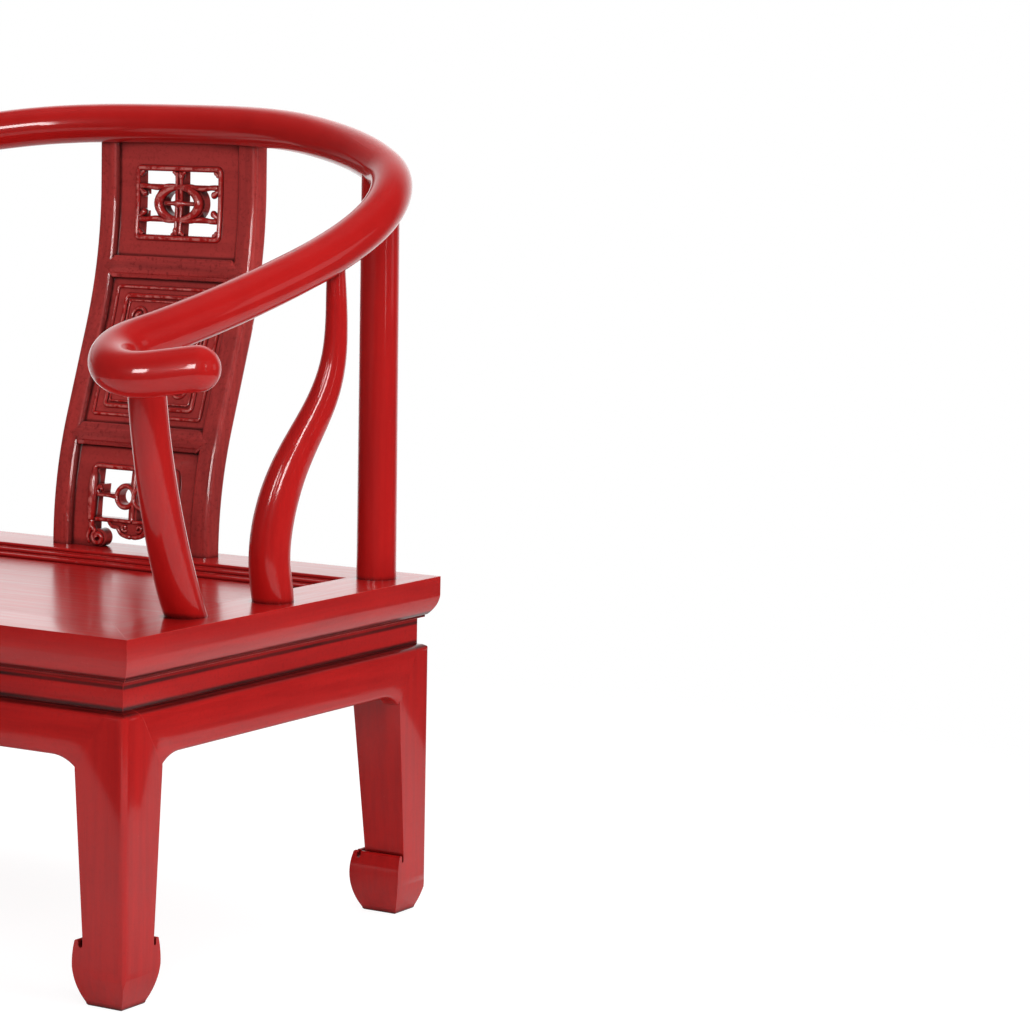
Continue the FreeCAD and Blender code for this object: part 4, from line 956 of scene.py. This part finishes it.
class ARMCHAIR_OT_stage(bpy.types.Operator):
    """Make the pale floor, the white room, the lamps and the camera"""
    bl_idname = "armchair.stage"
    bl_label = "Stage"
    bl_options = {"REGISTER", "UNDO"}

    def execute(self, context):
        studio = context.scene.studio
        self.floor()
        self.room(studio)
        self.lamps(studio)
        self.camera(context, studio)
        context.scene.view_settings.view_transform = "Standard"
        return {"FINISHED"}

    def floor(self):
        """White to the camera but for the chair's faint shadow, and pale to the light and the gloss."""
        turns = [math.tau * i / FLOOR_SIDES for i in range(FLOOR_SIDES)]
        edge = [(FLOOR_REACH * math.cos(turn), FLOOR_REACH * math.sin(turn), 0) for turn in turns]
        mesh = bpy.data.meshes.new("floor")
        mesh.from_pydata(edge, [], [tuple(range(FLOOR_SIDES))])
        material, pad = blank_material("pale floor")
        matt = pad.add("ShaderNodeBsdfDiffuse", Color=grey(0.92))
        dim = pad.add("ShaderNodeBsdfDiffuse", Color=grey(0.78))
        shade = pad.add("ShaderNodeBsdfDiffuse", Color=grey(0.24))
        glow = pad.add("ShaderNodeEmission", Color=grey(1.0), Strength=0.90)
        pale = pad.add("ShaderNodeAddShader", i0=shade.outputs[0], i1=glow.outputs[0])
        white = pad.add("ShaderNodeEmission", Color=grey(1.0), Strength=1.0)
        place = pad.add("ShaderNodeTexCoord").outputs["Object"]
        out = pad.add("ShaderNodeVectorMath", {"operation": "LENGTH"}, i0=place).outputs["Value"]
        faded = pad.add("ShaderNodeMixShader", i0=pad.band(out, *FLOOR_FADE), i1=pale.outputs[0],
                        i2=white.outputs[0])
        pad.add("ShaderNodeOutputMaterial", Surface=pad.by_ray(matt, dim, faded))
        mesh.materials.append(material)
        link(bpy.data.objects.new("floor", mesh))

    def room(self, studio):
        """White to the camera; the gloss sees a bright backdrop behind the chair and a dim room before it."""
        world = bpy.data.worlds.new("white room")
        bpy.context.scene.world = world
        world.use_nodes = True
        world.node_tree.nodes.clear()
        pad = NodePad(world.node_tree)
        direction = pad.add("ShaderNodeTexCoord").outputs["Generated"]
        behind = pad.add("ShaderNodeVectorMath", {"operation": "DOT_PRODUCT"}, i0=direction, i1=BEHIND_CHAIR)
        level = pad.band(behind.outputs["Value"], *BACKDROP_EDGE, studio.front_gloom, studio.backdrop)
        soft = pad.add("ShaderNodeBackground", Color=grey(1.0), Strength=studio.ambient)
        sweep = pad.add("ShaderNodeBackground", Color=grey(1.0), Strength=level)
        white = pad.add("ShaderNodeBackground", Color=grey(1.0), Strength=1.0)
        pad.add("ShaderNodeOutputWorld", Surface=pad.by_ray(soft, sweep, white))

    def lamps(self, studio):
        """Soft lamps that light the colours, and lamps that only glint in the gloss of all but the seat."""
        spared = bpy.data.collections.new("spared by the glint lamps")
        for item in bpy.data.objects:
            if item.name.startswith("seat_") and item.name.endswith("_finish"):
                spared.objects.link(item)
        for held in spared.collection_objects:
            held.light_linking.link_state = "EXCLUDE"
        for name, setting, place, size, glints in LAMPS:
            light = bpy.data.lights.new(name, "AREA")
            light.shape = "RECTANGLE"
            light.size, light.size_y = size
            light.energy = getattr(studio, setting)
            lamp = link(bpy.data.objects.new(name, light))
            lamp.location = place
            lamp.rotation_euler = (LAMP_AIM - Vector(place)).to_track_quat("-Z", "Y").to_euler()
            lamp.visible_glossy = glints
            lamp.visible_diffuse = not glints
            if glints:
                lamp.light_linking.receiver_collection = spared

    def camera(self, context, studio):
        """The photograph's camera, turned about its own view by the roll."""
        azimuth, elevation, roll = studio.azimuth, studio.elevation, studio.roll
        level = math.cos(elevation)
        back = Vector((math.sin(azimuth) * level, -math.cos(azimuth) * level, math.sin(elevation)))
        right = Vector((math.cos(azimuth), math.sin(azimuth), 0))
        up = back.cross(right)
        turned_right = right * math.cos(roll) + up * math.sin(roll)
        turned_up = up * math.cos(roll) - right * math.sin(roll)
        data = bpy.data.cameras.new("camera")
        data.lens = studio.lens
        data.sensor_width = SENSOR_WIDTH
        camera = link(bpy.data.objects.new("camera", data))
        turn = Matrix((turned_right, turned_up, back)).transposed().to_4x4()
        camera.matrix_world = Matrix.Translation(Vector(studio.target) + back * studio.distance) @ turn
        context.scene.camera = camera


class ARMCHAIR_PT_panel(bpy.types.Panel):
    """Lists the armchair's operators and settings"""
    bl_label = "Armchair"
    bl_idname = "ARMCHAIR_PT_panel"
    bl_space_type = "VIEW_3D"
    bl_region_type = "UI"
    bl_category = "Armchair"

    def draw(self, context):
        for operator in STEPS:
            self.layout.operator(operator.bl_idname)
        for name in SETTINGS:
            group = getattr(context.scene, name)
            box = self.layout.box()
            box.label(text=type(group).__doc__)
            for key in group.__annotations__:
                box.prop(group, key)


SETTINGS = {"lacquer_look": LacquerLook, "joinery_look": JoineryLook, "carving": CarvingSizes,
            "studio": StudioSettings}
STEPS = (ARMCHAIR_OT_crest_rail, ARMCHAIR_OT_posts, ARMCHAIR_OT_splat, ARMCHAIR_OT_seat, ARMCHAIR_OT_base,
         ARMCHAIR_OT_stage)


def register():
    for kind in (*SETTINGS.values(), *STEPS, ARMCHAIR_PT_panel):
        bpy.utils.register_class(kind)
    for name, kind in SETTINGS.items():
        setattr(bpy.types.Scene, name, bpy.props.PointerProperty(type=kind))


def unregister():
    for name in SETTINGS:
        delattr(bpy.types.Scene, name)
    for kind in reversed((*SETTINGS.values(), *STEPS, ARMCHAIR_PT_panel)):
        bpy.utils.unregister_class(kind)


def main():
    register()
    for step in STEPS:
        getattr(bpy.ops.armchair, step.bl_idname.split(".")[1])()


if __name__ == "__main__":
    main()
